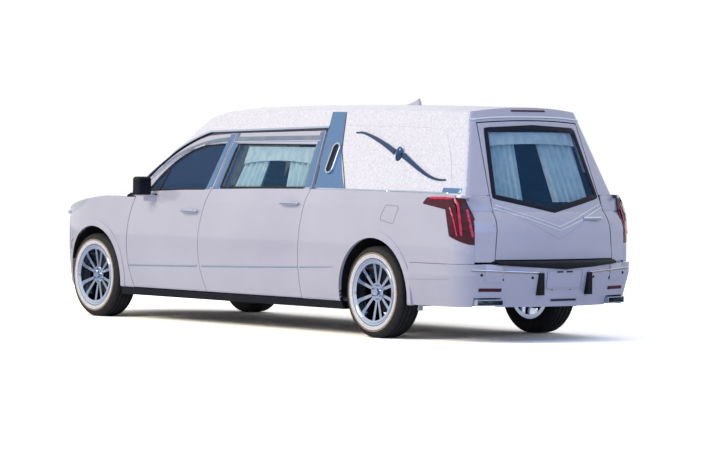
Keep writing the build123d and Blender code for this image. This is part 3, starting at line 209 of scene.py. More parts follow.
def linked(name, data):
    """An object for this data, in the scene."""
    made = bpy.data.objects.new(name, data)
    bpy.context.scene.collection.objects.link(made)
    return made


def piece(name, mesh, body, *looks):
    """A bmesh made an object that rides on a body, with its looks as its materials."""
    data = bpy.data.meshes.new(name)
    mesh.to_mesh(data)
    mesh.free()
    made = linked(name, data)
    for look in looks:
        data.materials.append(M[look])
    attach(made, body)
    return made


def smooth(made, angle=35):
    """Smooth shading, with edges over `angle` degrees kept sharp."""
    made.data.shade_smooth()
    made.data.set_sharp_from_angle(angle=radians(angle))
    return made


def skin(*nodes):
    """What a strip can be laid on: the outsides of these nodes or pieces."""
    corners = []
    faces = []
    for node in nodes:
        start = len(corners)
        data = (CAD.get(node) or bpy.data.objects[node]).data
        corners += [v.co.copy() for v in data.vertices]
        faces += [[start + i for i in polygon.vertices] for polygon in data.polygons]
    return BVHTree.FromPolygons(corners, faces)


def laid(mesh, on, look, lift):
    """Moves each corner along `look` until it lies `lift` outside what it meets."""
    lost = []
    for vert in mesh.verts:
        hit = on.ray_cast(vert.co - look * FAR, look)[0]
        if hit is None:
            lost.append(vert)
        else:
            vert.co = hit - look * lift
    bmesh.ops.delete(mesh, geom=lost, context="VERTS")


def heading(points, i):
    """The way that a route of vectors runs at point i."""
    return (points[min(i + 1, len(points) - 1)] - points[max(i - 1, 0)]).normalized()


def ribbon(route, width, taper=1.0):
    """A flat strip along plane points (u, v), as a bmesh in X=0."""
    mesh = bmesh.new()
    rows = []
    points = [Vector((0, u, v)) for u, v in route]
    for index, point in enumerate(points):
        along = heading(points, index)
        across = Vector((0, -along.z, along.y))
        half = width / 2 * (1 + (taper - 1) * index / (len(points) - 1))
        rows.append([mesh.verts.new(point + across * half), mesh.verts.new(point - across * half)])
    for first, second in zip(rows, rows[1:]):
        mesh.faces.new((first[0], second[0], second[1], first[1]))
    return mesh


def fine(route, step=0.03):
    """The same route with a point at least every `step` metres."""
    points = [Vector(p) for p in route]
    out = [points[0]]
    for first, second in zip(points, points[1:]):
        count = max(1, int((second - first).length / step))
        out += [first.lerp(second, (i + 1) / count) for i in range(count)]
    return out


def curved(route):
    """Corner cutting, with the two ends kept."""
    points = [Vector(p) for p in route]
    for _ in range(2):
        new = [points[0]]
        for first, second in zip(points, points[1:]):
            new += [first.lerp(second, 0.25), first.lerp(second, 0.75)]
        points = new + [points[-1]]
    return points


def strip_side(name, route, width, on, body, look, side, lift=0.001, thick=0.004, taper=1.0):
    """A strip along (y, z) points on one flank."""
    mesh = ribbon(fine(route), width, taper)
    inside = [e for e in mesh.edges if not e.is_boundary]
    bmesh.ops.subdivide_edges(mesh, edges=inside or mesh.edges, cuts=1)
    laid(mesh, on, Vector((-side, 0, 0)), lift)
    finish_strip(name, mesh, body, look, thick, Vector((side, 0, 0)))


def strip_end(name, route, width, on, body, look, end=1, lift=0.001, thick=0.004):
    """A strip along (x, z) points on the tail (end 1) or the nose (end -1)."""
    mesh = ribbon(fine(route), width)
    bmesh.ops.rotate(mesh, verts=mesh.verts, cent=(0, 0, 0), matrix=ACROSS)
    laid(mesh, on, Vector((0, -end, 0)), lift)
    finish_strip(name, mesh, body, look, thick, Vector((0, end, 0)))


def faced(mesh, outward):
    """Turns the faces of an open sheet to look `outward`."""
    bmesh.ops.recalc_face_normals(mesh, faces=mesh.faces)
    if sum((f.normal * f.calc_area() for f in mesh.faces), Vector()).dot(outward) < 0:
        bmesh.ops.reverse_faces(mesh, faces=mesh.faces)


def finish_strip(name, mesh, body, look, thick, outward):
    """A sheet given its thickness and softened edges."""
    faced(mesh, outward)
    made = piece(name, mesh, body, look)
    wall = made.modifiers.new("wall", "SOLIDIFY")
    wall.thickness = thick
    wall.offset = 1
    edge = made.modifiers.new("edge", "BEVEL")
    edge.width = min(thick * 0.4, 0.003)
    edge.segments = 2
    made.data.shade_smooth()


def patch(name, outline, on, body, look, side, thick, cell=0.03):
    """A filled outline of (y, z) points laid on one flank."""
    mesh = bmesh.new()
    mesh.faces.new([mesh.verts.new((0, u, v)) for u, v in outline])
    low = [min(p[i] for p in outline) for i in (0, 1)]
    high = [max(p[i] for p in outline) for i in (0, 1)]
    for axis in (0, 1):
        count = max(1, int((high[axis] - low[axis]) / cell))
        direction = Vector((0, 0, 1)) if axis else Vector((0, 1, 0))
        for step in range(1, count):
            at = direction * (low[axis] + (high[axis] - low[axis]) * step / count)
            bmesh.ops.bisect_plane(mesh, geom=mesh.verts[:] + mesh.edges[:] + mesh.faces[:],
                                   plane_co=at, plane_no=direction)
    laid(mesh, on, Vector((-side, 0, 0)), 0.001)
    finish_strip(name, mesh, body, look, thick, Vector((side, 0, 0)))


def side_hit(on, side, y, z):
    """Where a line in from one side meets a skin."""
    return on.ray_cast(Vector((side * FAR / 2, y, z)), Vector((-side, 0, 0)))[0]


def tail_hit(on, x, z):
    """Where a line in from behind meets a skin."""
    return on.ray_cast(Vector((x, FAR, z)), Vector((0, -1, 0)))[0]


def rounded(mesh, width, edges=None):
    """Rounds these edges, or all of them."""
    bmesh.ops.bevel(mesh, geom=edges or mesh.edges[:], offset=width, offset_type="OFFSET",
                    affect="EDGES", segments=3, profile=0.5, material=-1, clamp_overlap=True)


def brick(mesh, low, high):
    """A box between two corners, added to a bmesh."""
    made = bmesh.ops.create_cube(mesh, size=1)["verts"]
    size = [b - a for a, b in zip(low, high)]
    bmesh.ops.scale(mesh, verts=made, vec=size)
    bmesh.ops.translate(mesh, verts=made, vec=[(a + b) / 2 for a, b in zip(low, high)])


def oval(size, segments, lean=0.0):
    """An egg of three half sizes, leant about X."""
    mesh = bmesh.new()
    bmesh.ops.create_uvsphere(mesh, u_segments=segments, v_segments=segments // 2, radius=1)
    bmesh.ops.scale(mesh, verts=mesh.verts, vec=size)
    bmesh.ops.rotate(mesh, verts=mesh.verts, cent=(0, 0, 0), matrix=Matrix.Rotation(lean, 3, "X"))
    return mesh


def stud(mesh, at, radius, tip, depth, segments, turn):
    """A short round pin, turned to the way that it points."""
    made = bmesh.ops.create_cone(mesh, cap_ends=True, segments=segments, radius1=radius, radius2=tip,
                                 depth=depth)["verts"]
    bmesh.ops.rotate(mesh, verts=made, cent=(0, 0, 0), matrix=turn)
    bmesh.ops.translate(mesh, verts=made, vec=at)


def woven(mesh, rows):
    """Faces between rows of corners."""
    for low, high in zip(rows, rows[1:]):
        for i in range(len(low) - 1):
            mesh.faces.new((low[i], low[i + 1], high[i + 1], high[i]))


def spun(profile, steps):
    """A closed ring about X from (x, radius) points."""
    mesh = bmesh.new()
    verts = [mesh.verts.new((x, 0, r)) for x, r in profile]
    edges = [mesh.edges.new(pair) for pair in zip(verts, verts[1:])]
    edges.append(mesh.edges.new((verts[-1], verts[0])))
    bmesh.ops.spin(mesh, geom=verts + edges, cent=(0, 0, 0), axis=(1, 0, 0), angle=2 * pi,
                   steps=steps, use_merge=True, use_duplicate=False)
    bmesh.ops.remove_doubles(mesh, verts=mesh.verts, dist=0.00002)
    bmesh.ops.recalc_face_normals(mesh, faces=mesh.faces)
    return mesh


# ---- wheels ----
TYRE_HALF = 0.1165
GROOVES = (-0.062, -0.021, 0.021, 0.062)
LUGS = 6
LUG_CIRCLE = 0.055
WHEEL_FACE = 0.0675  # the hub's outer face, from the wheel's middle


def tyre_profile():
    """Closed section (x, radius) with four grooves round the tread."""
    side = [(-0.098, 0.255), (-0.106, 0.266), (-0.1115, 0.276), (-0.115, 0.292), (-TYRE_HALF, 0.309),
            (-TYRE_HALF, 0.313), (-0.116, 0.321), (-0.112, 0.34), (-0.102, 0.358), (-0.09, 0.367)]
    tread = [(-0.085, 0.3695)]
    for groove in GROOVES:
        tread += [(groove - 0.006, 0.3715), (groove - 0.0045, 0.363), (groove + 0.0045, 0.363),
                  (groove + 0.006, 0.3715)]
    tread.append((0.085, 0.3695))
    return side + tread + [(-x, r) for x, r in reversed(side)]


def tyre(end, side, sign):
    """Tread, white wall and gold stripe."""
    mesh = spun(tyre_profile(), 120)
    for face in mesh.faces:
        centre = face.calc_center_median()
        radius = sqrt(centre.y ** 2 + centre.z ** 2)
        if centre.x * sign > 0.09:
            face.material_index = 1 if 0.275 < radius < 0.309 else 2 if 0.3125 < radius < 0.321 else 0
    bmesh.ops.translate(mesh, verts=mesh.verts, vec=(sign * WHEEL_X, AXLE_Y[end], WHEEL_Z))
    made = piece(f"tyre_{end}_{side}_treaded", mesh, f"wheel_{end}_{side}", "rubber", "whitewall", "gold")
    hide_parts(f"tyre_{end}_{side}")
    smooth(made, 50)


def wheel_trim(end, side, sign):
    """Lug nuts, cap and outer lip on the chrome wheel."""
    mesh = spun([(0.088, 0.236), (0.1, 0.246), (0.1085, 0.262), (0.1115, 0.271), (0.108, 0.273),
                 (0.098, 0.262), (0.082, 0.242)], 96)
    for index in range(LUGS):
        angle = 2 * pi * index / LUGS
        stud(mesh, (WHEEL_FACE + 0.01, LUG_CIRCLE * sin(angle), LUG_CIRCLE * cos(angle)), 0.0115, 0.009,
             0.026, 6, TO_SIDE)
    stud(mesh, (WHEEL_FACE + 0.008, 0, 0), 0.034, 0.027, 0.02, 40, TO_SIDE)
    if sign < 0:
        bmesh.ops.scale(mesh, verts=mesh.verts, vec=(-1, 1, 1))
    bmesh.ops.translate(mesh, verts=mesh.verts, vec=(sign * WHEEL_X, AXLE_Y[end], WHEEL_Z))
    bmesh.ops.recalc_face_normals(mesh, faces=mesh.faces)
    smooth(piece(f"lug_nuts_{end}_{side}", mesh, f"wheel_{end}_{side}", "chrome"), 30)


for end in AXLE_Y:
    for side, sign in SIDES:
        tyre(end, side, sign)
        wheel_trim(end, side, sign)


# ---- second materials and closing panels ----
FACING_IN = 0.35  # how far a face's normal leans to the cabin to count as its lining
HOUSE_REACH = 0.475  # how far from the axle a wheel house goes
HOUSE_OUT, HOUSE_IN = 0.925, 0.8  # a wheel house's mouth and depth in x
PAINTED_END_Y = 2.35
MIRROR_BLACK_ABOVE = 1.105
INTAKE_TOP = 0.45
TIPS_FROM = 2.9  # the y where the bright exhaust tips start


def shaded(node, body, looks, test):
    """A merged copy of a CAD node, its shading kept; `test` gives each face its number in `looks`."""
    source = CAD[node].data
    corners = [(source.vertices[loop.vertex_index].co.copy(),
                source.corner_normals[loop.index].vector.copy()) for loop in source.loops]
    mesh = bmesh.new()
    mesh.from_mesh(source)
    origin = mesh.faces.layers.int.new("origin")
    for face in mesh.faces:
        face[origin] = face.index
        face.smooth = True
    bmesh.ops.remove_doubles(mesh, verts=mesh.verts, dist=0.00001)
    for face in mesh.faces:
        face.material_index = int(test(face))
    made = piece(f"{node}_shaded", mesh, body, *looks)
    data = made.data
    taken = data.attributes["origin"].data
    normals = []
    for polygon in data.polygons:
        old = source.polygons[taken[polygon.index].value]
        near = [corners[i] for i in old.loop_indices]
        for index in polygon.loop_indices:
            co = data.vertices[data.loops[index].vertex_index].co
            normals.append(min(near, key=lambda pair: (pair[0] - co).length_squared)[1])
    data.attributes.remove(data.attributes["origin"])
    data.normals_split_custom_set(normals)
    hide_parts(node)


def wheel_house(centre_y):
    """A test, true of faces that look in at the wheel."""
    def test(face):
        at = face.calc_center_median()
        away = Vector((0, centre_y - at.y, WHEEL_Z - at.z))
        inside = abs(at.x) < HOUSE_OUT and away.length < HOUSE_REACH
        return inside and (away.dot(face.normal) > 0.3 * away.length or abs(at.x) < HOUSE_IN)
    return test


def tail_end(face):
    """True of the smooth painted end behind the padded sides."""
    at = face.calc_center_median()
    return at.y > PAINTED_END_Y and face.normal.y > 0.62 and face.normal.z < 0.8


def inner(sign, lowest=0.0):
    """A test, true of the cabin side of a flank piece."""
    return lambda face: face.normal.x * sign < -FACING_IN and face.calc_center_median().z > lowest


def numbered(*tests):
    """Gives a face the number of the first test that it passes, or 0."""
    return lambda face: next((number for number, test in enumerate(tests, 1) if test(face)), 0)


for side, sign in SIDES:
    shaded(f"body_side_{side}", "body", ["paint", "underbody", "lining"],
           numbered(wheel_house(AXLE_Y["rear"]), inner(sign, 0.75)))
    shaded(f"fender_{side}", "body", ["paint", "underbody"], wheel_house(AXLE_Y["front"]))
    for door in (f"front_door_{side}", f"rear_door_{side}"):
        shaded(door, door, ["paint", "lining"], inner(sign))
    shaded(f"upper_quarter_{side}", "body", ["vinyl", "paint", "lining"], numbered(tail_end, inner(sign)))
    shaded(f"mirror_{side}", f"front_door_{side}", ["paint", "black"],
           lambda face: face.calc_center_median().z > MIRROR_BLACK_ABOVE)
shaded("roof", "body", ["vinyl", "paint", "lining"],
       numbered(tail_end, lambda face: face.normal.z < -0.2))
shaded("tail_door", "tail_door", ["paint", "lining"], lambda face: face.normal.y < -FACING_IN)
shaded("grille", "body", ["chrome", "black"], lambda face: face.calc_center_median().z < INTAKE_TOP)
shaded("exhaust", "body", ["exhaust", "chrome"], lambda face: face.calc_center_median().y > TIPS_FROM)


def span(name, rows, look, thick=0.003, sign=1):
    """A fixed panel through rows of (x, y, z) points, `thick` towards its front."""
    mesh = bmesh.new()
    grid = []
    for row in rows:
        points = [Vector((sign * x, y, z)) for x, y, z in row]
        line = [points[0]]
        for a, b in zip(points, points[1:]):
            line += [a.lerp(b, (i + 1) / 4) for i in range(4)]
        grid.append([mesh.verts.new(p) for p in line])
    woven(mesh, grid)
    finish_strip(name, mesh, "body", look, thick, Vector((0, 1, 0)))


# panels that close gaps: name, look, thickness, rows of a z and its (x, y) points
PANELS = (
    # the tail between lamp and door, below the padded quarter
    ("tail_corner", "paint", 0.003, (
        (1.046, (0.576, 2.95), (0.68, 2.921), (0.79, 2.893)),
        (1.105, (0.576, 2.925), (0.68, 2.897), (0.8, 2.866)),
        (1.166, (0.576, 2.905), (0.68, 2.88), (0.812, 2.852)))),
    # the bumper's top between the step and the corner
    ("bumper_shoulder", "paint", 0.003, (
        (0.486, (0.56, 3.056), (0.63, 3.037), (0.708, 3.016)),
        (0.56, (0.56, 3.068), (0.63, 3.049), (0.708, 3.028)),
        (0.622, (0.56, 3.066), (0.63, 3.047), (0.708, 3.026)),
        (0.628, (0.56, 3.04), (0.63, 3.02), (0.708, 3.0)),
        (0.628, (0.56, 2.93), (0.63, 2.93), (0.708, 2.93)))),
    # the lamp's face where it turns on to the tail
    ("lamp_corner", "lamp_red", 0.004, (
        (0.96, (0.752, 2.957), (0.8, 2.944), (0.852, 2.922)),
        (1.03, (0.764, 2.925), (0.806, 2.912), (0.858, 2.882)),
        (1.09, (0.778, 2.892), (0.815, 2.879), (0.858, 2.85)),
        (1.146, (0.792, 2.868), (0.825, 2.857), (0.862, 2.824)))))
for side, sign in SIDES:
    for name, look, thick, rows in PANELS:
        span(f"{name}_{side}", [[(x, y, z) for x, y in row] for z, *row in rows], look, thick, sign)


# ---- trim on the flanks ----
BELT = ((-1.54, 1.128), (-0.93, 1.152), (-0.377, 1.17), (0.311, 1.184), (1.03, 1.19), (1.495, 1.189),
        (2.224, 1.185), (2.737, 1.177), (2.9, 1.171))


def belt_between(first, last):
    """The belt's points from one y to another."""
    def height(y):
        a, b = next(pair for pair in zip(BELT, BELT[1:]) if y <= pair[1][0])
        return a[1] + (b[1] - a[1]) * (y - a[0]) / (b[0] - a[0])
    between = [p for p in BELT if first < p[0] < last]
    return [(first, height(first))] + between + [(last, height(last))]


def raised(route, rise):
    """The route, higher by `rise`."""
    return [(u, v + rise) for u, v in route]


# the ends in y of the doors' belt strips, and the routes of their low strips
BELT_ENDS = {"front": (-1.53, -0.462), "rear": (-0.425, 0.945)}
LOW_ROUTES = {"front": ((-1.655, 0.482), (-0.605, 0.506)), "rear": ((-0.565, 0.507), (0.855, 0.546))}
# bright frames each side of the middle pillar and at the back of the rear door: name, door, outline
CLADDINGS = (
    ("front", "front", ((-0.548, 1.163), (-0.466, 1.168), (-0.412, 1.64), (-0.462, 1.64), (-0.48, 1.566))),
    ("middle", "rear", ((-0.43, 1.168), (-0.362, 1.17), (-0.325, 1.56), (-0.33, 1.65), (-0.384, 1.648))),
    ("back", "rear", ((0.858, 1.19), (0.946, 1.192), (0.868, 1.672), (0.812, 1.668), (0.82, 1.56))))


def flank_trim(side, sign):
    """Belt strip and low strip in three lengths each, and the pillar claddings."""
    fixed = skin(f"body_side_{side}", f"upper_quarter_{side}", "pillar_bands", f"fender_{side}", "roof",
                 "rear_bumper", "front_bumper")
    on = {name: skin(f"{name}_door_{side}") for name in BELT_ENDS}
    for name, ends in BELT_ENDS.items():
        door = f"{name}_door_{side}"
        strip_side(f"belt_strip_{name}_{side}", raised(belt_between(*ends), 0.007), 0.013, on[name], door,
                   "chrome", sign)
        strip_side(f"low_strip_{name}_{side}", LOW_ROUTES[name], 0.017, on[name], door, "chrome", sign,
                   thick=0.006)
    strip_side(f"belt_strip_quarter_{side}", raised(belt_between(0.985, 2.66), 0.007), 0.011, fixed, "body",
               "chrome", sign)
    strip_side(f"low_strip_quarter_{side}", [(0.892, 0.547), (1.345, 0.562)], 0.017, fixed, "body",
               "chrome", sign, thick=0.006, taper=0.4)
    for name, door, outline in CLADDINGS:
        # stainless claddings, their blue a painted reflection of the sky
        patch(f"pillar_cladding_{name}_{side}", outline, on[door], f"{door}_door_{side}", "stainless", sign,
              0.0015)


for side, sign in SIDES:
    flank_trim(side, sign)


WINDOWS = {
    "front": [(-1.42, 1.15), (-1.29, 1.272), (-1.15, 1.399), (-0.96, 1.49), (-0.742, 1.541), (-0.49, 1.553),
              (-0.556, 1.166)],
    "rear": [(-0.352, 1.186), (-0.316, 1.556), (0.808, 1.556), (0.846, 1.202)]}
for side, sign in SIDES:
    for name, outline in WINDOWS.items():
        strip_side(f"{name}_window_seal_{side}", outline + [outline[0]], 0.012,
                   skin(f"{name}_door_{side}", f"{name}_door_glass_{side}"), f"{name}_door_{side}", "seal",
                   sign, lift=0.0005, thick=0.0035)
    strip_side(f"quarter_light_bar_{side}", [(-1.205, 1.362), (-1.262, 1.15)], 0.022,
               skin(f"front_door_glass_{side}"), f"front_door_{side}", "seal", sign, thick=0.006)


def door_handle(door, side, sign, y_low, y_high, z):
    """A bowed bar handle on two stands."""
    body = f"{door}_door_{side}"
    middle = (y_low + y_high) / 2
    half = (y_high - y_low) / 2
    at = side_hit(skin(body), sign, middle, z)
    mesh = bmesh.new()
    brick(mesh, (-0.01, y_low, -0.015), (0.01, y_high, 0.015))
    lengthways = [e for e in mesh.edges if abs(e.verts[0].co.y - e.verts[1].co.y) > 0.1]
    bmesh.ops.subdivide_edges(mesh, edges=lengthways, cuts=9, use_grid_fill=True)
    for vert in mesh.verts:
        away = abs(vert.co.y - middle) / half
        vert.co.z *= 1 - 0.45 * away ** 3
        vert.co.x += 0.01 * (1 - away ** 2)
    rounded(mesh, 0.005, [e for e in mesh.edges if e.calc_face_angle(0) > 0.6])
    for end in (y_low + 0.02, y_high - 0.02):
        brick(mesh, (-0.024, end - 0.012, -0.008), (0.0, end + 0.012, 0.008))
    bmesh.ops.scale(mesh, verts=mesh.verts, vec=(sign, 1, 1))
    bmesh.ops.translate(mesh, verts=mesh.verts, vec=(at.x + sign * 0.024, 0, z))
    bmesh.ops.recalc_face_normals(mesh, faces=mesh.faces)
    smooth(piece(f"{door}_handle_{side}", mesh, body, "chrome"))


for side, sign in SIDES:
    door_handle("front", side, sign, -0.826, -0.59, 0.976)
    door_handle("rear", side, sign, 0.612, 0.862, 1.07)
    patch(f"side_marker_{side}", [(-2.708, 0.6), (-2.668, 0.592), (-2.66, 0.682), (-2.7, 0.69)],
          skin(f"fender_{side}", "front_bumper"), "body", "amber", sign, 0.004, cell=0.02)


# ---- trim on the tail ----
VEE_DROP = {"upper": 0.0, "lower": -0.03}
VEE = {"left": [(0.598, 1.112), (0.0, 0.921)], "right": [(0.0, 0.921), (-0.598, 1.112)],
       "corner_left": [(0.618, 1.118), (0.745, 1.158)], "corner_right": [(-0.618, 1.118), (-0.745, 1.158)]}
FRIT = [(-0.455, 1.69), (0.0, 1.712), (0.455, 1.69), (0.532, 1.16), (0.0, 1.052), (-0.532, 1.16)]


def tail_trim():
    """Bright V, roof strip, dark border of the glass, crease and handle."""
    door = skin("tail_door", "tail_door_glass")
    fixed = skin("body_side_left", "body_side_right", "upper_quarter_left", "upper_quarter_right", "roof")
    # two thin bright lines in a V, carried on over the corners
    for row, drop in VEE_DROP.items():
        for name, route in VEE.items():
            on, body = (fixed, "body") if "corner" in name else (door, "tail_door")
            strip_end(f"vee_{row}_{name}", raised(route, drop), 0.008, on, body, "chrome", thick=0.003)
    strip_end("roof_strip", curved([(-0.56, 1.772), (-0.3, 1.795), (0.3, 1.795), (0.56, 1.772)]), 0.014,
              skin("roof", "upper_quarter_left", "upper_quarter_right"), "body", "chrome", thick=0.006)
    strip_end("glass_border", FRIT + [FRIT[0]], 0.04, door, "tail_door", "frit", lift=0.0008, thick=0.0022)
    # pressed V below the bright lines
    crease = [(0.567, 1.111), (0.363, 0.993), (0.0, 0.822), (-0.363, 0.993), (-0.567, 1.111)]
    strip_end("door_crease", crease, 0.006, door, "tail_door", "paint", lift=0.0, thick=0.003)
    # bar handle on two stands
    mesh = bmesh.new()
    brick(mesh, (-0.47, -0.012, 0.974), (-0.285, 0.01, 1.0))
    rounded(mesh, 0.006)
    back = tail_hit(door, -0.38, 0.987).y
    bmesh.ops.translate(mesh, verts=mesh.verts, vec=(0, back + 0.02, 0))
    for x in (-0.455, -0.3):
        brick(mesh, (x - 0.01, back - 0.004, 0.979), (x + 0.01, back + 0.014, 0.995))
    bmesh.ops.recalc_face_normals(mesh, faces=mesh.faces)
    smooth(piece("tail_handle", mesh, "tail_door", "chrome"))


tail_trim()


def bumper_trim():
    """Bright strip over a gold one, reflectors and sensors."""
    on = skin("rear_bumper", "bumper_shoulder_left", "bumper_shoulder_right")
    for side, sign in SIDES:
        route = [(sign * 0.262, 0.562), (sign * 0.55, 0.574), (sign * 0.82, 0.586)]
        strip_end(f"bumper_strip_{side}", route, 0.011, on, "body", "chrome", thick=0.006)
        strip_end(f"bumper_strip_foot_{side}", raised(route, -0.009), 0.006, on, "body", "gold")
        strip_end(f"reflector_{side}", [(sign * 0.555, 0.425), (sign * 0.745, 0.427)], 0.026, on, "body",
                  "lamp_red")
        for number, (x, z) in enumerate(((0.315, 0.523), (0.735, 0.545)), 1):
            mesh = bmesh.new()
            stud(mesh, tail_hit(on, sign * x, z), 0.012, 0.011, 0.006, 24, TO_TAIL)
            smooth(piece(f"park_sensor_{side}_{number}", mesh, "body", "black"))


bumper_trim()

GUIDE_LIFT = 0.006  # how far a light guide stands off the lens
GUIDES = (
    ("bar", 0.02, ((0.886, 2.554, 1.146), (0.876, 2.719, 1.148), (0.862, 2.82, 1.142), (0.858, 2.86, 1.1),
                   (0.868, 2.892, 1.01), (0.864, 2.915, 0.853))),
    ("inner", 0.012, ((0.89, 2.8, 1.075), (0.892, 2.842, 1.0), (0.886, 2.886, 0.852))),
    ("outer", 0.02, ((0.8, 2.905, 1.06), (0.805, 2.95, 0.94), (0.792, 2.97, 0.842))))
LAMP_MIDDLE = (0.6, 2.6)  # x and y that the lens curves round


def light_guide(name, route, width, sign):
    """A lit bar through (x, y, z) points on a tail lamp's lens."""
    mesh = bmesh.new()
    points = [Vector((sign * x, y, z)) for x, y, z in fine(route, 0.02)]
    rows = []
    for i, p in enumerate(points):
        out = Vector((p.x - sign * LAMP_MIDDLE[0], p.y - LAMP_MIDDLE[1], 0)).normalized()
        across = heading(points, i).cross(out).normalized() * (width / 2)
        proud = p + out * GUIDE_LIFT
        rows.append([mesh.verts.new(proud + across), mesh.verts.new(proud - across)])
    for a, b in zip(rows, rows[1:]):
        mesh.faces.new((a[0], b[0], b[1], a[1]))
    finish_strip(name, mesh, "body", "lamp_lit", 0.002, Vector((sign * 0.6, 0.8, 0)))


for side, sign in SIDES:
    for name, width, route in GUIDES:
        light_guide(f"tail_light_{name}_{side}", route, width, sign)


# ---- nose ----
BLADE = [(-2.98, 0.925), (-2.8, 0.978), (-2.6, 1.018), (-2.43, 1.05)]
LENS_X = (0.62, 0.72, 0.82)
LENS_Z = 0.925
WIPERS = (("left", 0.62, -0.02), ("right", 0.02, -0.6))  # the ends in x
WIPER_Y = -1.955


def nose_details():
    """Guides and lenses of the headlamps, low bright strips, and the wipers."""
    front = skin("headlamps", "fender_left", "fender_right", "bonnet", "front_bumper", "grille")
    lamp = skin("headlamps")
    for side, sign in SIDES:
        strip_side(f"head_light_blade_{side}", curved(BLADE), 0.012, lamp, "body", "lamp_white", sign,
                   thick=0.003)
        brow = [(sign * 0.56, 0.955), (sign * 0.7, 0.965), (sign * 0.84, 0.96)]
        strip_end(f"head_light_brow_{side}", curved(brow), 0.012, lamp, "body", "lamp_white", end=-1,
                  thick=0.003)
        for number, x in enumerate(LENS_X, 1):
            mesh = oval((0.03, 0.007, 0.019), 24)
            hit = lamp.ray_cast(Vector((sign * x, -FAR, LENS_Z)), Vector((0, 1, 0)))[0]
            bmesh.ops.translate(mesh, verts=mesh.verts, vec=hit)
            smooth(piece(f"head_lamp_lens_{side}_{number}", mesh, "body", "lamp_white"))
        strip_end(f"nose_strip_{side}", [(sign * 0.1, 0.3), (sign * 0.45, 0.3), (sign * 0.7, 0.33)],
                  0.012, front, "body", "chrome", end=-1, thick=0.005)
    # wiper arms at rest over the screen's foot
    glass = skin("windscreen", "cowl", "bonnet")
    for name, x0, x1 in WIPERS:
        mesh = ribbon([(x0 + (x1 - x0) * i / 16, 0) for i in range(17)], 0.014)
        bmesh.ops.rotate(mesh, verts=mesh.verts, cent=(0, 0, 0), matrix=ACROSS)
        for vert in mesh.verts:
            rise = (x0 - vert.co.x) / (x0 - x1)
            vert.co = (vert.co.x, WIPER_Y + 0.055 * rise + vert.co.z, 0)
        laid(mesh, glass, Vector((0, 0, -1)), 0.01)
        finish_strip(f"wiper_{name}", mesh, "body", "black", 0.008, Vector((0, 0, 1)))


nose_details()


# ---- landau bars ----
LANDAU_ROUTE = {
    "upper": [(1.312, 1.66), (1.4, 1.662), (1.5, 1.64), (1.62, 1.606), (1.761, 1.558), (1.9, 1.502)],
    "lower": [(2.02, 1.476), (2.153, 1.415), (2.288, 1.354), (2.4, 1.31), (2.5, 1.288), (2.59, 1.288)]}
WELT = [(1.15, 1.722), (2.095, 1.712), (2.34, 1.7), (2.425, 1.672), (2.47, 1.61), (2.56, 1.48),
        (2.663, 1.26)]
ARC = 8  # faces round a bar's front


def landau_half(part, side, sign, on):
    """A tapered half bar with a raised spine, thick at the boss."""
    route = fine(curved(LANDAU_ROUTE[part]), 0.02)
    last = len(route) - 1
    mesh = bmesh.new()
    rows = []
    for i, (y, z) in enumerate(route):
        share = i / last if part == "upper" else 1 - i / last
        half = 0.0065 + 0.022 * share ** 1.3
        along = heading(route, i)
        across = Vector((0, -along.y, along.x))
        at = side_hit(on, sign, y, z)
        ring = []
        for turn in range(ARC + 1):
            angle = pi * turn / ARC
            proud = 0.002 + 0.018 * sin(angle) * (0.5 + share / 2)
            ring.append(mesh.verts.new(at + across * (half * cos(angle)) + Vector((sign * proud, 0, 0))))
        rows.append(ring)
    for a, b in zip(rows, rows[1:]):
        for i in range(ARC):
            mesh.faces.new((a[i], a[i + 1], b[i + 1], b[i]))
        mesh.faces.new((a[ARC], a[0], b[0], b[ARC]))
    mesh.faces.new(rows[0])
    mesh.faces.new(rows[-1])
    bmesh.ops.recalc_face_normals(mesh, faces=mesh.faces)
    # the bars' navy is a painted reflection of the sky
    return smooth(piece(f"landau_{part}_{side}", mesh, "body", "painted_sky_chrome"), 50)


for side, sign in SIDES:
    padded_side = skin(f"upper_quarter_{side}")
    first = landau_half("upper", side, sign, padded_side)
    landau_half("lower", side, sign, padded_side)
    if sign > 0:
        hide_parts("landau_bars")
    # plain oval boss between the halves
    mesh = oval((0.022, 0.04, 0.07), 32, -0.25)
    at = side_hit(padded_side, sign, 1.962, 1.482)
    bmesh.ops.translate(mesh, verts=mesh.verts, vec=at + Vector((sign * 0.006, 0, 0)))
    # the boss's navy is a painted reflection of the sky
    smooth(piece(f"landau_boss_{side}", mesh, "body", "painted_sky_chrome"), 60)
    # welt pressed into the padding behind the bars
    strip_side(f"padding_welt_{side}", curved(WELT), 0.009, padded_side, "body", "vinyl", sign,
               lift=-0.001, thick=0.006)


# ---- bands over the side windows ----
HEADER = {
    "front_door": [(-1.442, 1.262), (-1.302, 1.365), (-1.132, 1.464), (-0.877, 1.544), (-0.672, 1.58),
                   (-0.475, 1.597)],
    "rear_door": [(-0.37, 1.6), (0.267, 1.61), (0.85, 1.619)]}
for side, sign in SIDES:
    for door, route in HEADER.items():
        on = skin(f"{door}_{side}")
        # grey band under the drip rail: painted shade, its blue tint a painted sky reflection
        strip_side(f"{door}_gutter_{side}", curved(route), 0.034, on, f"{door}_{side}", "painted_shade_grey", sign,
                   thick=0.003)
        strip_side(f"{door}_bright_{side}", raised(curved(route), -0.026), 0.011, on, f"{door}_{side}",
                   "chrome", sign)


# ---- bright bands behind the rear doors ----
BAND_EDGES = {"front": ((0.991, 1.2), (0.88, 1.815)),
              "rear": ((1.415, 1.2), (1.19, 1.517), (1.08, 1.815))}
OPERA_Y = 1.118
OPERA_Z = (1.305, 1.585)
OPERA_WIDE = 0.105
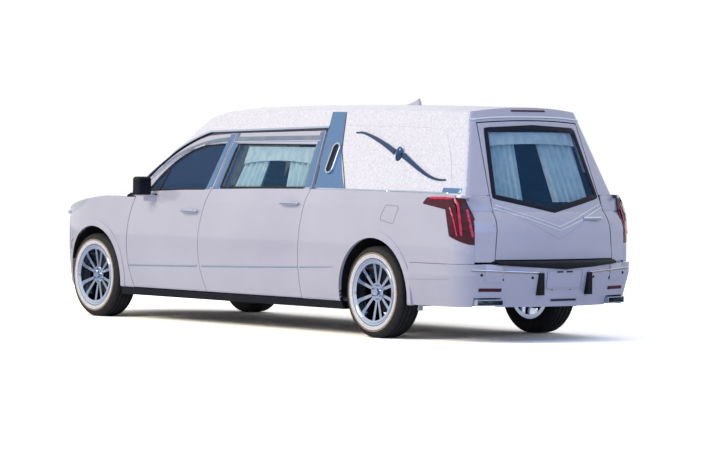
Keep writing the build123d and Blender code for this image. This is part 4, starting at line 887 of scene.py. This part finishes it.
# dark joints down both edges
for side, sign in SIDES:
    wall = skin("pillar_bands", f"upper_quarter_{side}", f"rear_door_{side}")
    for edge, route in BAND_EDGES.items():
        strip_side(f"band_joint_{edge}_{side}", route, 0.009, wall, "body", "seal", sign, lift=0.0005,
                   thick=0.002)


def opera_lamp(side, sign):
    """An upright oval lamp: bright frame round a dark pane."""
    low, top = OPERA_Z
    half = OPERA_WIDE / 2
    long = (top - low) / 2 - half
    mesh = bmesh.new()
    ring = bmesh.ops.create_circle(mesh, cap_ends=True, segments=40, radius=half)["verts"]
    for vert in ring:
        vert.co.y += long if vert.co.y > 0 else -long
    grown = bmesh.ops.extrude_face_region(mesh, geom=mesh.faces[:])["geom"]
    lifted = [item for item in grown if isinstance(item, bmesh.types.BMVert)]
    bmesh.ops.translate(mesh, verts=lifted, vec=(0, 0, 0.034))
    face = [item for item in grown if isinstance(item, bmesh.types.BMFace)][0]
    rounded(mesh, 0.006, list(face.edges))
    pane = max(mesh.faces, key=lambda f: (round(f.calc_center_median().z, 4), f.calc_area()))
    bmesh.ops.inset_region(mesh, faces=[pane], thickness=0.009, depth=-0.004)
    pane.material_index = 1
    bmesh.ops.recalc_face_normals(mesh, faces=mesh.faces)
    start = Vector((sign * FAR, OPERA_Y, (low + top) / 2))
    spot, normal, _, _ = skin("pillar_bands").ray_cast(start, Vector((-sign, 0, 0)))
    up = Vector((0, 0, 1))
    up = (up - normal * normal.z).normalized()
    turn = Matrix((up.cross(normal), up, normal)).transposed().to_4x4()
    bmesh.ops.transform(mesh, matrix=Matrix.Translation(spot - normal * 0.014) @ turn, verts=mesh.verts)
    return smooth(piece(f"opera_lamp_{side}", mesh, "body", "chrome", "frit"), 40)


for side, sign in SIDES:
    lamp_piece = opera_lamp(side, sign)
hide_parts("opera_lamps")


# ---- curtains ----
ROWS = 14  # faces down a curtain
FOLD_FACES = 8  # faces across one fold


def behind(on, look, inset):
    """A function from plane points to a place `inset` behind the curtain's solid."""
    sideways = abs(look.x) > 0.5
    middle = 0.25 if sideways else 0.0

    def at(u, v):
        # a point off the solid's edge takes its depth from further in
        for step in range(25):
            inner_u = middle + (u - middle) * (1 - step * 0.03)
            start = Vector((0, inner_u, v) if sideways else (inner_u, 0, v))
            hit = on.ray_cast(start - look * FAR, look)[0]
            if hit:
                return Vector((hit.x, u, v) if sideways else (u, hit.y, v)) + look * inset
    return at


def gathered(name, left, right, top, low, folds, depth, at, body, out, scallop=0.0):
    """A curtain gathered on a rod at `top`; `left` and `right` are each side's places there and below."""
    columns = folds * FOLD_FACES
    # each curtain's folds start at another place
    phase = len(name) * 0.7 + (2 if "valance" in name else 0)
    mesh = bmesh.new()
    grid = []
    for j in range(ROWS + 1):
        v = j / ROWS
        a = left[0] + (left[1] - left[0]) * v
        b = right[0] + (right[1] - right[0]) * v
        line = []
        for i in range(columns + 1):
            u = i / columns
            hem = low + scallop * sin(pi * u) ** 0.6
            z = top + (hem - top) * v
            fold = sin(u * folds * 2 * pi + 0.9 * sin(5 * u + phase)) * depth * (0.55 + 0.45 * v)
            line.append(mesh.verts.new(at(a + (b - a) * u, z) + out * fold))
        grid.append(line)
    woven(mesh, grid)
    faced(mesh, out)
    area = sum(f.calc_area() for f in mesh.faces)
    made = piece(name, mesh, body, "satin")
    return smooth(made, 80)


# name, left, right, top, low, folds, depth of the folds, distance behind the solid, scallop of the hem
SIDE_CURTAINS = (
    ("side_drape_front", (-0.16, -0.21), (0.15, 0.15), 1.53, 1.186, 5, 0.024, 0.045, 0),
    ("side_drape_rear", (0.42, 0.53), (0.812, 0.838), 1.53, 1.192, 5, 0.024, 0.045, 0),
    ("side_valance", (-0.175, -0.165), (0.815, 0.83), 1.536, 1.385, 10, 0.01, 0.01, 0.035))
TAIL_CURTAINS = (
    ("tail_drape_left", (0.455, 0.5), (0.17, 0.235), 1.668, 1.115, 5, 0.028, 0.05, 0),
    ("tail_drape_right", (-0.05, -0.09), (-0.455, -0.5), 1.668, 1.115, 6, 0.028, 0.05, 0),
    ("tail_valance", (0.43, 0.438), (-0.44, -0.448), 1.672, 1.56, 9, 0.009, 0.01, 0.02))


def hang(curtains, ending, node, look, body):
    """Hangs a window's curtains in place of their plain solid."""
    solid = skin(node)
    hung = [gathered(name + ending, *shape, behind(solid, look, inset), body, -look, scallop)
            for name, *shape, inset, scallop in curtains]
    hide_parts(node)


for side, sign in SIDES:
    hang(SIDE_CURTAINS, f"_{side}", f"rear_door_curtain_{side}", Vector((-sign, 0, 0)), f"rear_door_{side}")
hang(TAIL_CURTAINS, "", "tail_door_curtain", Vector((0, -1, 0)), "tail_door")


# ---- front seats ----
SEAT_X = 0.37
TILT = radians(-14)
TILT_AXIS = (0, -0.47, 0.69)
# name, half width, y, z, crown, tilt and pleats of each pad
PADS = (("seat_cushion", 0.25, (-1.01, -0.475), (0.555, 0.69), 0.012, 0, 0),
        ("seat_back", 0.25, (-0.525, -0.415), (0.68, 1.285), 0.012, TILT, 5),
        ("head_rest", 0.125, (-0.51, -0.43), (1.29, 1.44), 0.008, TILT, 0))


def cushion(name, low, high, crown, tilt, pleats):
    """A crowned pad: a subdivided box blown out between its edges, then tilted."""
    mesh = bmesh.new()
    brick(mesh, low, high)
    bmesh.ops.subdivide_edges(mesh, edges=mesh.edges[:], cuts=11, use_grid_fill=True)
    centre = [(a + b) / 2 for a, b in zip(low, high)]
    half = [(b - a) / 2 for a, b in zip(low, high)]
    for vert in mesh.verts:
        r = [(vert.co[i] - centre[i]) / half[i] for i in range(3)]
        for i in range(3):
            j, k = (i + 1) % 3, (i + 2) % 3
            bulge = (1 - r[j] ** 4) * (1 - r[k] ** 4)
            vert.co[i] = centre[i] + half[i] * r[i] * (0.9 + 0.1 * bulge) + crown * r[i] * bulge * 0.5
        if pleats:
            vert.co.y -= 0.006 * abs(sin(pleats * pi * r[2])) * (r[1] < -0.6) * (1 - r[0] ** 4)
    bmesh.ops.rotate(mesh, verts=mesh.verts, cent=TILT_AXIS, matrix=Matrix.Rotation(tilt, 3, "X"))
    bmesh.ops.recalc_face_normals(mesh, faces=mesh.faces)
    made = piece(name, mesh, "body", "leather")
    return smooth(made, 60)


for side, sign in SIDES:
    x = sign * SEAT_X
    pads = [cushion(f"{name}_{side}", (x - half, y[0], z[0]), (x + half, y[1], z[1]), *shape)
            for name, half, y, z, *shape in PADS]
    mesh = bmesh.new()
    brick(mesh, (x - 0.19, -0.96, 0.345), (x + 0.19, -0.52, 0.556))
    rounded(mesh, 0.012)
    piece(f"seat_base_{side}", mesh, "body", "black")
    if sign > 0:
        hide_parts("front_seats")


# ---- step tread, plate place and slot ----
# the step's sloped front, from one end to the middle
TREAD = ([(0.622, 3.036, 0.654), (0.3, 3.095, 0.654), (0, 3.105, 0.654)],
         [(0.618, 3.07, 0.64), (0.3, 3.157, 0.637), (0, 3.176, 0.636)],
         [(0.615, 3.071, 0.624), (0.3, 3.158, 0.603), (0, 3.177, 0.586)])
PLATE_EDGE = [(-0.18, 0.432), (0.18, 0.432), (0.18, 0.576), (-0.18, 0.576)]


def tail_details():
    """Step tread, plate place with its lamps and screws, slot, creases and blank belt plates."""
    on = skin("rear_bumper")
    span("step_tread", [[(-x, y, z) for x, y, z in half[:2]] + half[::-1] for half in TREAD], "black")
    strip_end("plate_place_edge", PLATE_EDGE + [PLATE_EDGE[0]], 0.007, on, "body", "paint", thick=0.007)
    for name, x in (("left", 0.055), ("right", -0.045)):
        strip_end(f"plate_lamp_{name}", [(x - 0.03, 0.566), (x + 0.03, 0.566)], 0.01, on, "body",
                  "black", lift=0.002, thick=0.006)
    # the slot is flat: a grey rim of painted shade and a black strip of painted shade where its opening is
    strip_end("bumper_slot", [(-0.155, 0.341), (0.12, 0.341)], 0.022, on, "body", "painted_shade_grey", thick=0.002)
    strip_end("bumper_slot_painted_shade", [(-0.145, 0.341), (0.11, 0.341)], 0.012, on, "body", "black", lift=0.003,
              thick=0.002)
    for number, x in enumerate((0.115, -0.073), 1):
        mesh = bmesh.new()
        stud(mesh, tail_hit(on, x, 0.428), 0.009, 0.008, 0.004, 20, TO_TAIL)
        piece(f"plate_screw_{number}", mesh, "body", "black")
    for side, sign in SIDES:
        strip_side(f"bumper_crease_{side}", [(2.3, 0.498), (2.622, 0.507), (2.84, 0.514)], 0.006,
                   skin(f"body_side_{side}", "rear_bumper"), "body", "paint", sign)
        # stainless belt plates, their blue a painted reflection of the sky
        strip_side(f"belt_plate_{side}", [(2.59, 1.206), (2.79, 1.203)], 0.04,
                   skin(f"upper_quarter_{side}"), "body", "stainless", sign)


tail_details()


# ---- camera, floor and light ----
CAMERA_AT = (19.0247, 25.3853, 1.6151)
CAMERA_TURN = (37.248, 1.5108, 0.467)  # yaw, pitch and roll in degrees
LENS = 187.63
FLOOR_HALF = 60
# the floor's colour to the eye: over 1, to come out white under the blue sky with its shadow kept
FLOOR_SEEN = (2.7, 2.56, 2.18, 1)
SKY_STRENGTH = 0.46
LAMPS = (("key", (12, 0, 8), 6, 966, "#FFF7EF"), ("rear_fill", (2, 14, 6), 8, 320, "#5C9CFF"),
         ("nose_fill", (-6, -12, 7), 8, 276, "#FFFFFF"))
LIT_POINT = Vector((0, 0, 0.8))


def set_camera():
    """A long lens behind the coach's own left corner."""
    yaw, pitch, roll = [radians(angle) for angle in CAMERA_TURN]
    ahead = Vector((-sin(yaw) * cos(pitch), -cos(yaw) * cos(pitch), -sin(pitch)))
    right = ahead.cross(Vector((0, 0, 1))).normalized()
    up = right.cross(ahead)
    turned_right = right * cos(roll) + up * sin(roll)
    turned_up = up * cos(roll) - right * sin(roll)
    camera = linked("camera", bpy.data.cameras.new("camera"))
    axes = Matrix((turned_right, turned_up, -ahead)).transposed()
    camera.matrix_world = Matrix.Translation(CAMERA_AT) @ axes.to_4x4()
    camera.data.lens = LENS
    camera.data.clip_end = 300
    bpy.context.scene.camera = camera


def first_sight(tree):
    """1 where the eye looks straight at the backdrop, and 1 where a mirror does too."""
    seen = add(tree, "ShaderNodeLightPath")
    first = add(tree, "ShaderNodeMath", {"operation": "MAXIMUM"},
                [(0, seen, "Is Camera Ray"), (1, seen, "Is Transmission Ray")])
    return first, add(tree, "ShaderNodeMath", {"operation": "MAXIMUM"},
                      [(0, first, 0), (1, seen, "Is Glossy Ray")])


def set_light():
    """Pale floor, even sky, a broad key from the coach's own left, a blue fill behind and one ahead."""
    scene = bpy.context.scene
    scene.view_settings.view_transform = "Standard"
    mesh = bmesh.new()
    bmesh.ops.create_grid(mesh, x_segments=1, y_segments=1, size=FLOOR_HALF)
    floor = linked("floor", bpy.data.meshes.new("floor"))
    mesh.to_mesh(floor.data)
    mesh.free()
    # matt painted floor: even pale grey
    pale = made_of("pale_floor", "#E6E6E8", 0.8, ("#E3E3E6", "#E9E9EB", 2))
    tree = pale.node_tree
    bright = add(tree, "ShaderNodeBsdfDiffuse", {"Color": FLOOR_SEEN})
    mixed = add(tree, "ShaderNodeMixShader", {},
                [(0, first_sight(tree)[0], 0), (1, tree.nodes["Principled BSDF"], 0), (2, bright, 0)])
    tree.links.new(mixed.outputs[0], tree.nodes["Material Output"].inputs["Surface"])
    floor.data.materials.append(pale)
    world = bpy.data.worlds.new("sky")
    world.use_nodes = True
    tree = world.node_tree
    sky = tree.nodes["Background"]
    sky.inputs["Color"].default_value = linear("#E9EEFF")
    sky.inputs["Strength"].default_value = SKY_STRENGTH
    white = add(tree, "ShaderNodeBackground", {"Color": (1, 1, 1, 1), "Strength": 1.0})
    mixed = add(tree, "ShaderNodeMixShader", {}, [(0, first_sight(tree)[1], 0), (1, sky, 0), (2, white, 0)])
    tree.links.new(mixed.outputs[0], tree.nodes["World Output"].inputs["Surface"])
    scene.world = world
    for name, where, size, power, tint in LAMPS:
        lamp = bpy.data.lights.new(name, "AREA")
        lamp.color = linear(tint)[:3]
        lamp.size = size
        lamp.energy = power
        holder = linked(name, lamp)
        holder.location = where
        holder.rotation_mode = "QUATERNION"
        holder.rotation_quaternion = (LIT_POINT - Vector(where)).to_track_quat("-Z", "Y")


set_camera()
set_light()
